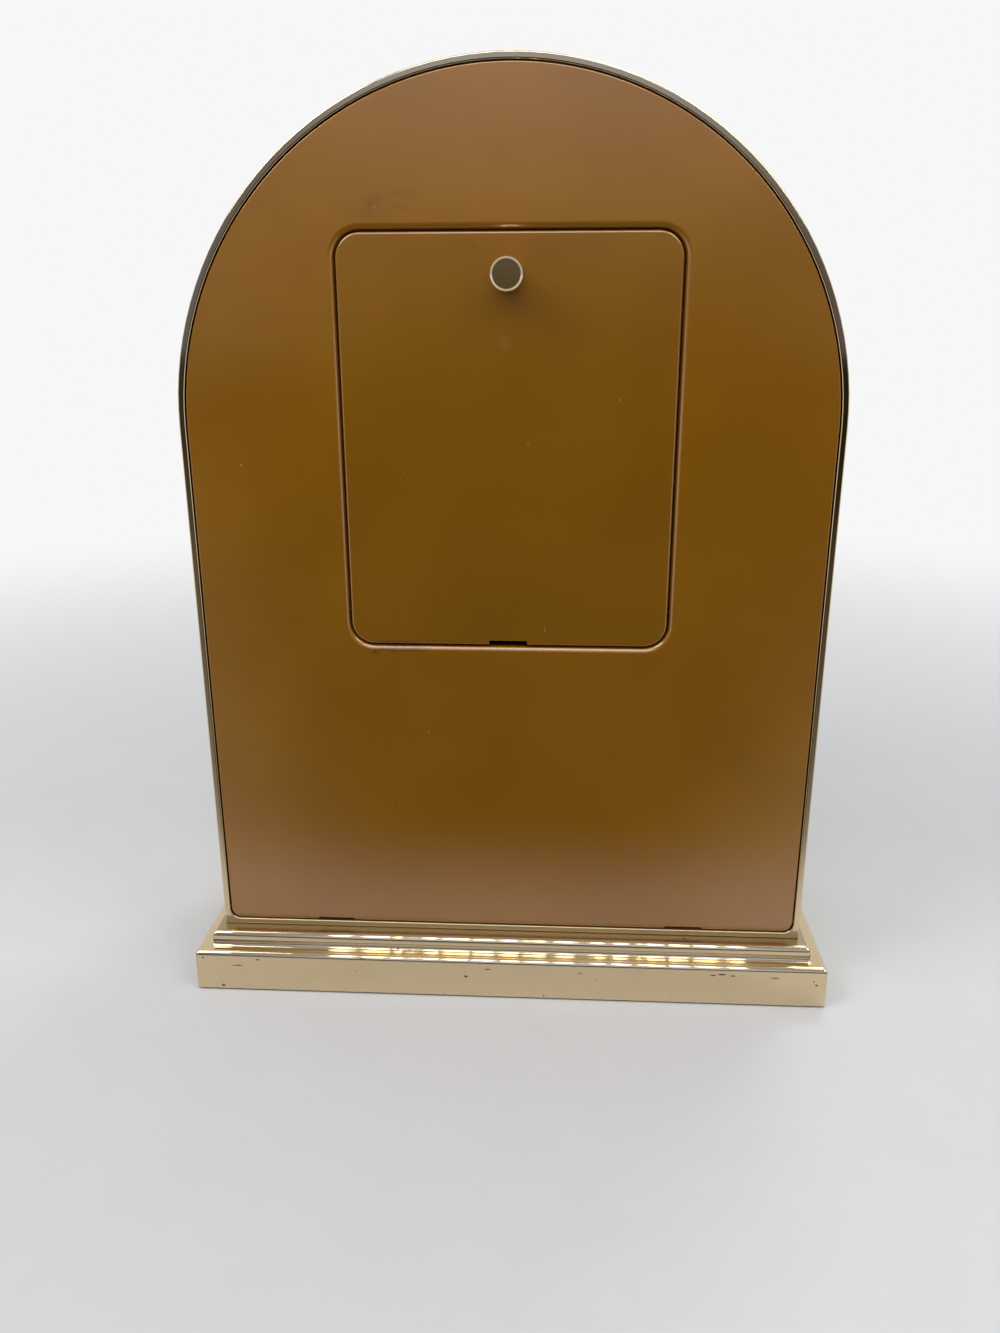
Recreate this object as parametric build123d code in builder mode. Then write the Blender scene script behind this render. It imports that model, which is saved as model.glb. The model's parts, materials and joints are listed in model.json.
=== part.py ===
from build123d import *
import math
import os

# Arched shelf clock with a quartz movement. Sizes are in millimetres, +Z is up, the dial faces -Y and the back
# panel faces +Y. The origin lies on the table, under the middle of the plinth.

# Fits shared by all pieces
overrun = 1.0  # how far a cut runs past the face that it opens
running_fit = 0.07  # radial clearance of a shaft that turns
fixed_fit = 0.04  # radial clearance of a shaft, a screw or a nut that stays put
loose_fit = 0.3  # gap round a plate that drops into its seat
side_play = 0.06  # gap along the axis between a wheel and its shoulder

# Plinth
foot_height = 0.6
foot_diameter = 14.0
foot_inset = 10.0
lower_step_height = 12.1
lower_step_side = 4.3
lower_step_end = 4.05
lower_step_round = 1.5
step_cove = 1.2
upper_step_height = 4.3
upper_step_side = 2.7
upper_step_end = 5.2
upper_step_round = 1.6
plinth_corner_round = 0.5
plinth_wall = 2.4
base_plate_thickness = 1.2
base_boss_diameter = 7.0
base_boss_side_share = 0.7
base_boss_end_share = 0.75
base_thread_depth = 6.0
base_screw_side_share = 0.65
base_screw_end_share = 0.4
base_screw_shank = 3.0
base_screw_head = 5.4
base_screw_head_height = 1.8
base_nut_across_flats = 5.5
base_nut_height = 2.4
base_screw_end = 0.5

# Case shell
case_width = 170.0
case_depth = 58.0
case_height = 231.0
case_wall = 1.7
case_corner = 3.0
case_rim_round = 0.35
front_flange_width = 7.0
front_flange_thickness = 1.7
dial_ledge_width = 6.0
dial_ledge_thickness = 2.0
panel_ledge_width = 2.6
panel_ledge_thickness = 1.6
rim_bottom_shares = (-0.643, 0.643)
rim_side_shares = (0.22, 0.78)
rim_arch_angles = (50.0, 130.0)

# Small screws of the front, the dial, the catch and the movement
screw_shank = 1.8
screw_head = 3.2
screw_head_height = 1.1
screw_slot_width = 0.5
screw_slot_depth = 0.4
bezel_thread_depth = 3.0
dial_thread_depth = 1.4
catch_thread_depth = 1.8
bridge_thread_depth = 3.5
cover_thread_depth = 4.0
thread_end_gap = 0.2

# Bezel and glass
bezel_depth = 5.0
bezel_width = 9.5
bezel_outer_round = 3.0
bezel_inner_round = 2.0
glass_rebate_width = 4.0
glass_clearance = 0.4
glass_thickness = 2.0
gasket_thickness = 0.5

# Dial
dial_recess = 10.0
dial_thickness = 1.0
chapter_outer_diameter = 124.0
chapter_band = 20.0
chapter_thickness = 0.8
chapter_foot_diameter = 1.6
chapter_foot_count = 4
chapter_foot_turn = 45.0
centre_disc_gap = 2.0
centre_disc_thickness = 0.4

# Back panel
panel_inset = 0.4
panel_thickness = 3.0
panel_gap = 0.25
panel_edge_round = 0.4
hook_width = 8.0
hook_thickness = 1.4
hook_barb = 0.9
hook_barb_length = 1.5
pry_notch_width = 10.7
pry_notch_height = 0.7
pry_notch_depth = 2.0
aperture_round = 1.6
stop_lip_reach = 2.0
stop_lip_land = 2.5
stop_lip_thickness = 1.2
stop_lip_gap = 0.2
stop_lip_rise = 2.4

# Door
door_width = 84.9
door_height = 104.2
door_drop = 5.45
door_corner = 6.1
door_gap = 0.4
door_edge_round = 0.6
door_notch_width = 10.2
door_notch_height = 1.2
pivot_rise = 9.0
pin_diameter = 1.5
pin_in_door = 4.5
pin_in_panel = 3.0
pin_end_gap = 0.3

# Door knob
knob_drop = 10.05
knob_diameter = 7.8
knob_length = 9.2
knob_chamfer = 0.5
knob_stem_diameter = 3.6
knob_tip_diameter = 3.0
knob_tip_reach = 8.5
knob_tip_round = 0.8
knob_washer_diameter = 8.0
knob_washer_thickness = 0.6
knob_nut_across_flats = 6.0
knob_nut_height = 2.4

# Spring catch
catch_sheet = 0.6
catch_plate_width = 14.0
catch_plate_height = 9.0
catch_plate_rise = 3.2
catch_leaf_depth = 4.0
catch_leaf_setback = 4.1
catch_leaf_tail = 4.0
catch_screw_side_share = 0.28

# Movement case
cushion_thickness = 0.8
cushion_diameter = 16.0
movement_size = 56.0
movement_wall = 1.5
movement_depth = 18.0
front_case_depth = 7.6
divider_drop = 9.6
rear_cover_gap = 0.1
bay_wall_depth = 13.5
case_post_diameter = 4.4
case_post_inset = 3.0
lower_post_drop = 4.5
bush_diameter = 8.0
bush_flange_diameter = 12.0
bush_flange_thickness = 0.8
bush_end = 0.6
hand_nut_across_flats = 11.0
hand_nut_height = 2.2
hand_washer_diameter = 12.0
hand_washer_thickness = 0.5

# Gear train: layers of wheels, from the dial side to the rear cover
first_layer = 2.8
layer_pitch = 1.6
gear_thickness = 1.0
motion_module = 0.4
train_module = 0.25
cannon_teeth = 10
minute_wheel_teeth = 30
minute_pinion_teeth = 8
hour_wheel_teeth = 32
setting_pinion_teeth = 10
second_pinion_teeth = 8
third_wheel_teeth = 60
third_pinion_teeth = 8
centre_wheel_teeth = 64
second_wheel_teeth = 50
intermediate_pinion_teeth = 10
intermediate_wheel_teeth = 48
rotor_pinion_teeth = 8
minute_work_angle = 90.0
third_angle = 160.0
intermediate_angle = 0.0
rotor_angle = 20.0
tooth_addendum_share = 0.9
tooth_dedendum_share = 1.25
wheel_tooth_shares = (0.24, 0.19, 0.08)  # half widths at root, pitch line and tip, of the tooth spacing
pinion_tooth_shares = (0.19, 0.18, 0.08)
arbor_radius = 0.6
arbor_end_gap = 0.3
minute_pipe_radius = 1.6
hour_pipe_radius = 2.5
clutch_hub_radius = 2.0
clutch_hub_end = 0.2
collar_radius = 3.0
pipe_step = 1.7
second_step = 1.5
boss_radius = 1.6
rear_boss_length = 1.2
front_boss_length = 1.0
stud_end = 0.2
rotor_arbor_radius = 0.5
magnet_radius = 3.0
magnet_length = 2.4
bridge_margin = 2.1
bridge_post_reach = 5.7
bridge_post_spacing = 5.0
bridge_post_diameter = 4.4
setting_arbor_radius = 1.0
setting_knob_diameter = 14.0
setting_knob_length = 5.6
setting_knob_gap = 0.4
setting_grip_count = 20
setting_grip_radius = 0.8
setting_boss_radius = 2.0

# Motor and circuit
stator_thickness = 1.2
stator_arm_width = 3.0
stator_left = 3.5
stator_right_gap = 1.5
stator_bottom = -2.0
stator_bar_top = 6.8
stator_top = 19.0
stator_core_height = 2.0
stator_air_gap = 0.4
stator_arbor_gap = 0.4
stator_peg_height = 10.0
post_radius = 1.6
peg_radius = 0.7
peg_end = 0.3
bobbin_radius = 1.5
bobbin_flange_radius = 2.6
bobbin_flange_thickness = 0.6
bobbin_end_gap = 0.2
bobbin_slot_gap = 0.1
winding_radius = 2.4
board_width = 41.0
board_bottom = -7.6
board_height = 5.3
board_thickness = 1.0
board_setback = 0.9
board_peg_side = 14.0
chip_width = 5.0
chip_height = 3.5
chip_thickness = 1.4
chip_place = -6.0
crystal_radius = 1.0
crystal_length = 6.0
crystal_place = 3.5

# Dry cell and contacts
cell_diameter = 14.5
cell_length = 50.5
cell_nub_diameter = 5.5
cell_nub_length = 1.2
cell_edge_round = 0.6
cell_seat_gap = 0.15
contact_sheet = 0.4
contact_wall_gap = 0.2
contact_height = 11.5
contact_depth = 8.0
contact_front = 4.0
contact_strip = 2.8
contact_rail_height = 0.7
contact_board_lap = 1.0
contact_dimple_radius = 2.4
contact_slot_gap = 0.2

# Hands, set to ten past ten
shown_hour = 10
shown_minute = 10
shown_second = 35
hand_thickness = 0.5
hand_setback = 0.1
hand_hub_length = 0.7
hand_hub_wall = 1.2
hour_hand_length = 38.0
hour_hand_width = 2.4
hour_leaf_width = 9.0
minute_hand_length = 57.0
minute_hand_width = 2.0
minute_leaf_width = 6.0
hand_tip_share = 0.35
leaf_start_share = 0.52
leaf_end_share = 0.86
second_hand_length = 56.0
second_hand_tail = 17.0
second_hand_width = 1.2
second_weight_radius = 3.0
second_weight_share = 0.8
second_boss_radius = 2.6

# Places worked out from the sizes above
half_turn = 180.0
full_turn = 360.0
quarter_turn = 90.0
case_half = case_width / 2
front_y = -case_depth / 2
back_y = case_depth / 2
plinth_top = foot_height + lower_step_height + upper_step_height
arch_z = plinth_top + case_height - case_half
upper_width = case_width + 2 * upper_step_side
upper_depth = case_depth + 2 * upper_step_end
lower_width = upper_width + 2 * lower_step_side
lower_depth = upper_depth + 2 * lower_step_end
cavity_width = lower_width - 2 * plinth_wall
cavity_depth = lower_depth - 2 * plinth_wall
cavity_roof = foot_height + lower_step_height - plinth_wall
case_floor = plinth_top + case_wall

glass_rebate_inset = bezel_width - glass_rebate_width
glass_inset = glass_rebate_inset + glass_clearance
bezel_screw_inset = (case_wall + glass_rebate_inset) / 2
dial_screw_inset = case_wall + dial_ledge_width / 2
dial_front_y = front_y + dial_recess
dial_back_y = dial_front_y + dial_thickness
chapter_inner_diameter = chapter_outer_diameter - 2 * chapter_band
centre_disc_diameter = chapter_inner_diameter - 2 * centre_disc_gap
chapter_foot_radius = (chapter_outer_diameter - chapter_band) / 2

panel_back_y = back_y - panel_inset
panel_front_y = panel_back_y - panel_thickness
door_middle_z = arch_z - door_drop
door_top_z = door_middle_z + door_height / 2
door_bottom_z = door_middle_z - door_height / 2
aperture_width = door_width + 2 * door_gap
aperture_height = door_height + 2 * door_gap
aperture_corner = door_corner + door_gap
aperture_top_z = door_top_z + door_gap
pivot_y = panel_back_y - panel_thickness / 2
pivot_z = door_bottom_z + pivot_rise
knob_z = door_top_z - knob_drop
catch_plate_z = aperture_top_z + catch_plate_rise

movement_front_y = dial_back_y + cushion_thickness
movement_half = movement_size / 2
movement_inner = movement_half - movement_wall
cover_inner = movement_depth - movement_wall
post_side = movement_inner - case_post_inset
bay_bottom = -movement_inner
bay_top = -divider_drop - movement_wall
cell_height = (bay_bottom + bay_top) / 2
cell_level = movement_wall + cell_seat_gap + cell_diameter / 2

bush_front_y = (
    dial_front_y - centre_disc_thickness - hand_washer_thickness - hand_nut_height - bush_end
)
hour_pipe_front_y = bush_front_y - pipe_step
minute_pipe_front_y = hour_pipe_front_y - pipe_step
second_arbor_front_y = minute_pipe_front_y - second_step


def beside(place, distance, angle):
    """The point at a distance and angle from a place, both seen from the dial side."""
    turn = math.radians(angle)
    return (place[0] + distance * math.cos(turn), place[1] + distance * math.sin(turn))


def centre_distance(module, teeth, other_teeth):
    return module * (teeth + other_teeth) / 2


# Train axes, from the middle of the hands, seen from the dial side
hands_axis = (0, 0)
motion_distance = centre_distance(motion_module, cannon_teeth, minute_wheel_teeth)
setting_distance = centre_distance(motion_module, minute_wheel_teeth, setting_pinion_teeth)
third_distance = centre_distance(train_module, third_pinion_teeth, centre_wheel_teeth)
second_distance = centre_distance(train_module, second_wheel_teeth, intermediate_pinion_teeth)
rotor_distance = centre_distance(train_module, intermediate_wheel_teeth, rotor_pinion_teeth)
minute_pinion_module = 2 * motion_distance / (minute_pinion_teeth + hour_wheel_teeth)
third_wheel_module = 2 * third_distance / (second_pinion_teeth + third_wheel_teeth)
minute_work_axis = beside(hands_axis, motion_distance, minute_work_angle)
setting_axis = beside(minute_work_axis, setting_distance, minute_work_angle)
third_axis = beside(hands_axis, third_distance, third_angle)
intermediate_axis = beside(hands_axis, second_distance, intermediate_angle)
rotor_axis = beside(intermediate_axis, rotor_distance, rotor_angle)
bridge_post_x = rotor_axis[0] + bridge_post_reach
bridge_posts = tuple(
    (bridge_post_x, rotor_axis[1] + side * bridge_post_spacing / 2) for side in (-1, 1)
)
case_posts = tuple(
    (side * post_side, height) for side in (-1, 1) for height in (post_side, -lower_post_drop)
)

# Motor and circuit places, from the middle of the hands
magnet_front = first_layer + 6 * layer_pitch
stator_front = magnet_front + (magnet_length - stator_thickness) / 2
stator_back = stator_front + stator_thickness
stator_middle = stator_front + stator_thickness / 2
stator_right = movement_inner - stator_right_gap
core_height = stator_top - stator_core_height / 2
bobbin_left = stator_left + stator_arm_width + bobbin_end_gap
bobbin_right = stator_right - stator_arm_width - bobbin_end_gap
stator_pegs = (
    (stator_left + stator_arm_width / 2, stator_peg_height),
    (stator_right - stator_arm_width / 2, stator_peg_height),
)
board_back = cover_inner - board_setback
board_front = board_back - board_thickness
board_middle = board_bottom + board_height / 2
board_pegs = ((-board_peg_side, board_middle), (board_peg_side, board_middle))


def upright(depth):
    """Upright plane at a depth that faces the dial side, with its x to the right and its y up."""
    return Plane.XZ.offset(-depth)


def level(inside):
    """Depth of a place in the movement, counted from the movement's front face."""
    return movement_front_y + inside


def layer_front(number):
    return level(first_layer + (number - 1) * layer_pitch)


def layer_back(number):
    return layer_front(number) + gear_thickness


def axis_plane(place, depth):
    """Upright plane on a train axis, which is given from the middle of the hands."""
    origin = (place[0], depth, arch_z + place[1])
    return Plane(origin=origin, x_dir=(1, 0, 0), z_dir=(0, -1, 0))


def arch_face(inset, corner=0):
    """The case's outline, moved inwards, with its two lower corners rounded."""
    half = case_half - inset
    foot = plinth_top + inset
    with BuildSketch() as outline:
        with BuildLine():
            Polyline((-half, arch_z), (-half, foot), (half, foot), (half, arch_z))
            ThreePointArc((half, arch_z), (0, arch_z + half), (-half, arch_z))
        make_face()
        if corner > 0:
            fillet(outline.vertices().group_by(Axis.Y)[0], corner)
    return outline.sketch


def rim_places(inset):
    """Places round the case at an inset from its outline: x, z and the outward direction in degrees."""
    half = case_half - inset
    foot = plinth_top + inset
    places = [(share * half, foot, -quarter_turn) for share in rim_bottom_shares]
    for share in rim_side_shares:
        height = foot + share * (arch_z - foot)
        places += [(-half, height, half_turn), (half, height, 0)]
    for angle in rim_arch_angles:
        x, z = beside((0, arch_z), half, angle)
        places.append((x, z, angle))
    return places


def rim_points(inset):
    return [(x, z) for x, z, angle in rim_places(inset)]


def rim_plane(place, depth):
    """Upright plane at a place on the rim, with its x pointing outwards."""
    x, z, angle = place
    turn = math.radians(angle)
    return Plane(origin=(x, depth, z), x_dir=(math.cos(turn), 0, math.sin(turn)), z_dir=(0, -1, 0))


def add_block(low, high, mode=Mode.ADD):
    """A rectangular block in the part that is being built, between two opposite corners."""
    middle = tuple((a + b) / 2 for a, b in zip(low, high))
    size = tuple(b - a for a, b in zip(low, high))
    with Locations(middle):
        Box(*size, mode=mode)


def add_movement_block(low, high, mode=Mode.ADD):
    """A block given as x, level and height in the movement."""
    add_block(
        (low[0], level(low[1]), arch_z + low[2]),
        (high[0], level(high[1]), arch_z + high[2]),
        mode,
    )


def add_round(place, front, back, radius, mode=Mode.ADD):
    """A cylinder in the part that is being built, along a train axis between two depths."""
    with Locations(axis_plane(place, back)):
        Cylinder(radius, back - front, align=(Align.CENTER, Align.CENTER, Align.MIN), mode=mode)


def add_screw(seat, length, shank=screw_shank, head=screw_head, head_height=screw_head_height):
    """A slotted screw in the part that is being built; its head sits on the plane and its shank runs along it."""
    with Locations(seat):
        Cylinder(head / 2, head_height, align=(Align.CENTER, Align.CENTER, Align.MAX))
        Cylinder(shank / 2, length, align=(Align.CENTER, Align.CENTER, Align.MIN))
    with Locations(seat.offset(screw_slot_depth - head_height)):
        Box(
            head + overrun,
            screw_slot_width,
            screw_slot_depth + overrun,
            align=(Align.CENTER, Align.CENTER, Align.MAX),
            mode=Mode.SUBTRACT,
        )


def meshing_phase(teeth, phase, direction, other_teeth):
    """The other gear's phase that puts its gaps on this gear's teeth; direction points to the other gear."""
    ahead = (phase - direction) * teeth / full_turn
    return direction + half_turn + (0.5 - ahead) * full_turn / other_teeth


def gear_points(teeth, module, phase, shares):
    """Corners of a gear with straight-sided teeth, one tooth at the phase angle."""
    pitch_radius = module * teeth / 2
    root = pitch_radius - tooth_dedendum_share * module
    tip = pitch_radius + tooth_addendum_share * module
    spacing = full_turn / teeth
    flank = list(zip((root, pitch_radius, tip), shares))
    points = []
    for tooth in range(teeth):
        middle = phase + tooth * spacing
        for radius, share in flank:
            points.append(beside((0, 0), radius, middle - share * spacing))
        for radius, share in reversed(flank):
            points.append(beside((0, 0), radius, middle + share * spacing))
    return points


def add_gear(place, number, teeth, module, phase, shares=wheel_tooth_shares):
    """A gear in the part that is being built, on a train axis and in one layer of the train."""
    with BuildSketch(axis_plane(place, layer_back(number))) as blank:
        with BuildLine():
            Polyline(*gear_points(teeth, module, phase, shares), close=True)
        make_face()
    extrude(blank.sketch, amount=gear_thickness)


def hand_plane(turns, depth):
    """Upright plane on the hands' axis, turned clockwise as seen from the dial side, with its y along the hand."""
    turn = math.radians(turns * full_turn)
    return Plane(
        origin=(0, depth, arch_z), x_dir=(math.cos(turn), 0, -math.sin(turn)), z_dir=(0, -1, 0)
    )


def leaf_hand_face(length, width, leaf_width, boss):
    """A pointed hand with a leaf near its tip and a round boss."""
    leaf_start = leaf_start_share * length
    leaf_end = leaf_end_share * length
    leaf_middle = (leaf_start + leaf_end) / 2
    tip_half = hand_tip_share * width / 2
    with BuildSketch() as face:
        Circle(boss)
        with BuildLine():
            Polyline((-width / 2, 0), (width / 2, 0), (tip_half, leaf_end), (0, length))
            Polyline((0, length), (-tip_half, leaf_end), (-width / 2, 0))
        make_face()
        with BuildLine():
            ThreePointArc((0, leaf_start), (leaf_width / 2, leaf_middle), (0, leaf_end))
            ThreePointArc((0, leaf_end), (-leaf_width / 2, leaf_middle), (0, leaf_start))
        make_face()
    return face.sketch


# Phases that put every pair of gears in mesh
minute_work_back = minute_work_angle + half_turn
cannon_phase = minute_work_angle
minute_wheel_phase = meshing_phase(cannon_teeth, cannon_phase, minute_work_angle, minute_wheel_teeth)
setting_phase = meshing_phase(
    minute_wheel_teeth, minute_wheel_phase, minute_work_angle, setting_pinion_teeth
)
minute_pinion_phase = minute_work_back
hour_phase = meshing_phase(
    minute_pinion_teeth, minute_pinion_phase, minute_work_back, hour_wheel_teeth
)
second_pinion_phase = third_angle
third_wheel_phase = meshing_phase(
    second_pinion_teeth, second_pinion_phase, third_angle, third_wheel_teeth
)
third_pinion_phase = third_angle + half_turn
centre_phase = meshing_phase(
    third_pinion_teeth, third_pinion_phase, third_angle + half_turn, centre_wheel_teeth
)
second_wheel_phase = intermediate_angle
intermediate_pinion_phase = meshing_phase(
    second_wheel_teeth, second_wheel_phase, intermediate_angle, intermediate_pinion_teeth
)
intermediate_wheel_phase = rotor_angle
rotor_phase = meshing_phase(
    intermediate_wheel_teeth, intermediate_wheel_phase, rotor_angle, rotor_pinion_teeth
)

os.makedirs("parts", exist_ok=True)

# Plinth: two hollow steps with rounded top edges and a cove between them
with BuildPart() as base_plinth:
    with BuildSketch(Plane.XY.offset(foot_height)):
        Rectangle(lower_width, lower_depth)
    extrude(amount=lower_step_height)
    fillet(base_plinth.edges().filter_by(Axis.Z), plinth_corner_round)
    fillet(base_plinth.faces().sort_by(Axis.Z)[-1].edges(), lower_step_round)
    with BuildSketch(Plane.XY.offset(foot_height + lower_step_height)):
        Rectangle(upper_width, upper_depth)
    extrude(amount=upper_step_height)
    upper_faces = base_plinth.faces().filter_by(Axis.Z, reverse=True).group_by(Axis.Z)[-1]
    fillet(upper_faces.edges().filter_by(Axis.Z), plinth_corner_round)
    fillet(base_plinth.faces().sort_by(Axis.Z)[-1].edges(), upper_step_round)
    ledge = base_plinth.faces().filter_by(Axis.Z).sort_by(Axis.Z)[-2]
    fillet(ledge.inner_wires()[0].edges(), step_cove)
    with BuildSketch(Plane.XY.offset(foot_height)):
        Rectangle(cavity_width, cavity_depth)
    extrude(amount=lower_step_height - plinth_wall, mode=Mode.SUBTRACT)
    with BuildSketch(Plane.XY.offset(cavity_roof)):
        Rectangle(upper_width - 2 * plinth_wall, upper_depth - 2 * plinth_wall)
    extrude(amount=upper_step_height, mode=Mode.SUBTRACT)
    with BuildSketch(Plane.XY.offset(foot_height + base_plate_thickness)):
        with GridLocations(base_boss_side_share * cavity_width, base_boss_end_share * cavity_depth, 2, 2):
            Circle(base_boss_diameter / 2)
    extrude(until=Until.NEXT)
    with BuildSketch(Plane.XY.offset(foot_height + base_plate_thickness)):
        with GridLocations(base_boss_side_share * cavity_width, base_boss_end_share * cavity_depth, 2, 2):
            Circle(screw_shank / 2 + fixed_fit)
    extrude(amount=base_thread_depth + thread_end_gap, mode=Mode.SUBTRACT)
    with BuildSketch(Plane.XY.offset(plinth_top + overrun)):
        with GridLocations(base_screw_side_share * case_width, base_screw_end_share * case_depth, 2, 2):
            Circle(base_screw_shank / 2 + fixed_fit)
    extrude(amount=-plinth_wall - 2 * overrun, mode=Mode.SUBTRACT)
base_plinth.part.label = "base_plinth"
export_step(base_plinth.part, "parts/base_plinth.step")

# Plate that closes the plinth from below
with BuildPart() as base_plate:
    with BuildSketch(Plane.XY.offset(foot_height)):
        Rectangle(cavity_width - 2 * loose_fit, cavity_depth - 2 * loose_fit)
    extrude(amount=base_plate_thickness)
    with BuildSketch(Plane.XY.offset(foot_height)):
        with GridLocations(base_boss_side_share * cavity_width, base_boss_end_share * cavity_depth, 2, 2):
            Circle(screw_head / 2 + fixed_fit)
    extrude(amount=base_plate_thickness / 2, mode=Mode.SUBTRACT)
    with BuildSketch(Plane.XY.offset(foot_height)):
        with GridLocations(base_boss_side_share * cavity_width, base_boss_end_share * cavity_depth, 2, 2):
            Circle(screw_shank / 2 + fixed_fit)
    extrude(amount=base_plate_thickness, mode=Mode.SUBTRACT)
base_plate.part.label = "base_plate"
export_step(base_plate.part, "parts/base_plate.step")

# Sunk screws of the base plate
with BuildPart() as base_plate_screws:
    sunk_head = base_plate_thickness / 2
    for corner in GridLocations(
        base_boss_side_share * cavity_width, base_boss_end_share * cavity_depth, 2, 2
    ):
        add_screw(
            Plane(corner).offset(foot_height + base_plate_thickness - sunk_head),
            sunk_head + base_thread_depth,
            head_height=sunk_head,
        )
base_plate_screws.part.label = "base_plate_screws"
export_step(base_plate_screws.part, "parts/base_plate_screws.step")

# Feet stuck under the base plate
with BuildPart() as base_feet:
    with BuildSketch(Plane.XY):
        with GridLocations(lower_width - 2 * foot_inset, lower_depth - 2 * foot_inset, 2, 2):
            Circle(foot_diameter / 2)
    extrude(amount=foot_height)
base_feet.part.label = "base_feet"
export_step(base_feet.part, "parts/base_feet.step")

# Screws that hold the case on the plinth, and their nuts on the case floor
with BuildPart() as base_screws:
    for corner in GridLocations(
        base_screw_side_share * case_width, base_screw_end_share * case_depth, 2, 2
    ):
        add_screw(
            Plane(corner).offset(plinth_top - plinth_wall),
            plinth_wall + case_wall + base_nut_height + base_screw_end,
            base_screw_shank,
            base_screw_head,
            base_screw_head_height,
        )
base_screws.part.label = "base_screws"
export_step(base_screws.part, "parts/base_screws.step")

with BuildPart() as base_nuts:
    with BuildSketch(Plane.XY.offset(case_floor)):
        with GridLocations(base_screw_side_share * case_width, base_screw_end_share * case_depth, 2, 2):
            RegularPolygon(base_nut_across_flats / 2, 6, major_radius=False)
            Circle(base_screw_shank / 2 + fixed_fit, mode=Mode.SUBTRACT)
    extrude(amount=base_nut_height)
base_nuts.part.label = "base_nuts"
export_step(base_nuts.part, "parts/base_nuts.step")

# Case shell: an arched tube with a front flange and ledges for the dial and the back panel
with BuildPart() as case_shell:
    with BuildSketch(upright(back_y)):
        add(arch_face(0))
        add(arch_face(case_wall, case_corner), mode=Mode.SUBTRACT)
    extrude(amount=case_depth)
    fillet(case_shell.faces().sort_by(Axis.Y)[-1].edges(), case_rim_round)
    for ledge_back, ledge_thickness, ledge_width in (
        (front_y + front_flange_thickness, front_flange_thickness, front_flange_width),
        (dial_front_y, dial_ledge_thickness, dial_ledge_width),
        (panel_front_y, panel_ledge_thickness, panel_ledge_width),
    ):
        with BuildSketch(upright(ledge_back)):
            add(arch_face(case_wall / 2))
            add(arch_face(case_wall + ledge_width, case_corner), mode=Mode.SUBTRACT)
        extrude(amount=ledge_thickness)
    with BuildSketch(upright(front_y + front_flange_thickness)):
        with Locations(*rim_points(bezel_screw_inset)):
            Circle(screw_shank / 2 + fixed_fit)
    extrude(amount=front_flange_thickness, mode=Mode.SUBTRACT)
    with BuildSketch(upright(dial_front_y)):
        with Locations(*rim_points(dial_screw_inset)):
            Circle(screw_shank / 2 + fixed_fit)
    extrude(amount=dial_thread_depth + thread_end_gap, mode=Mode.SUBTRACT)
    with BuildSketch(Plane.XY.offset(plinth_top)):
        with GridLocations(base_screw_side_share * case_width, base_screw_end_share * case_depth, 2, 2):
            Circle(base_screw_shank / 2 + fixed_fit)
    extrude(amount=case_wall, mode=Mode.SUBTRACT)
case_shell.part.label = "case_shell"
export_step(case_shell.part, "parts/case_shell.step")

# Front bezel with a rebate for the glass
with BuildPart() as front_bezel:
    with BuildSketch(upright(front_y)):
        add(arch_face(0))
        add(arch_face(bezel_width, case_corner), mode=Mode.SUBTRACT)
    extrude(amount=bezel_depth)
    bezel_face = front_bezel.faces().sort_by(Axis.Y)[0]
    fillet(bezel_face.outer_wire().edges(), bezel_outer_round)
    bezel_face = front_bezel.faces().sort_by(Axis.Y)[0]
    fillet(bezel_face.inner_wires()[0].edges(), bezel_inner_round)
    with BuildSketch(upright(front_y)):
        add(arch_face(glass_rebate_inset, case_corner))
    extrude(amount=gasket_thickness + glass_thickness, mode=Mode.SUBTRACT)
    with BuildSketch(upright(front_y)):
        with Locations(*rim_points(bezel_screw_inset)):
            Circle(screw_shank / 2 + fixed_fit)
    extrude(amount=bezel_thread_depth + thread_end_gap, mode=Mode.SUBTRACT)
front_bezel.part.label = "front_bezel"
export_step(front_bezel.part, "parts/front_bezel.step")

with BuildPart() as bezel_screws:
    for place in rim_places(bezel_screw_inset):
        add_screw(
            rim_plane(place, front_y + front_flange_thickness),
            front_flange_thickness + bezel_thread_depth,
        )
bezel_screws.part.label = "bezel_screws"
export_step(bezel_screws.part, "parts/bezel_screws.step")

with BuildPart() as front_glass:
    with BuildSketch(upright(front_y - gasket_thickness)):
        add(arch_face(glass_inset, case_corner))
    extrude(amount=glass_thickness)
front_glass.part.label = "front_glass"
export_step(front_glass.part, "parts/front_glass.step")

with BuildPart() as glass_gasket:
    with BuildSketch(upright(front_y)):
        add(arch_face(glass_inset, case_corner))
        add(arch_face(case_wall + front_flange_width, case_corner), mode=Mode.SUBTRACT)
    extrude(amount=gasket_thickness)
glass_gasket.part.label = "glass_gasket"
export_step(glass_gasket.part, "parts/glass_gasket.step")

# Dial plate, seated from behind on the dial ledge
with BuildPart() as dial_plate:
    with BuildSketch(upright(dial_back_y)):
        add(arch_face(case_wall + loose_fit, case_corner))
        with Locations((0, arch_z)):
            Circle(bush_diameter / 2 + fixed_fit, mode=Mode.SUBTRACT)
            with PolarLocations(chapter_foot_radius, chapter_foot_count, chapter_foot_turn):
                Circle(chapter_foot_diameter / 2 + fixed_fit, mode=Mode.SUBTRACT)
        with Locations(*rim_points(dial_screw_inset)):
            Circle(screw_shank / 2 + fixed_fit, mode=Mode.SUBTRACT)
    extrude(amount=dial_thickness)
dial_plate.part.label = "dial_plate"
export_step(dial_plate.part, "parts/dial_plate.step")

with BuildPart() as dial_screws:
    for place in rim_places(dial_screw_inset):
        add_screw(rim_plane(place, dial_back_y), dial_thickness + dial_thread_depth)
dial_screws.part.label = "dial_screws"
export_step(dial_screws.part, "parts/dial_screws.step")

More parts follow.
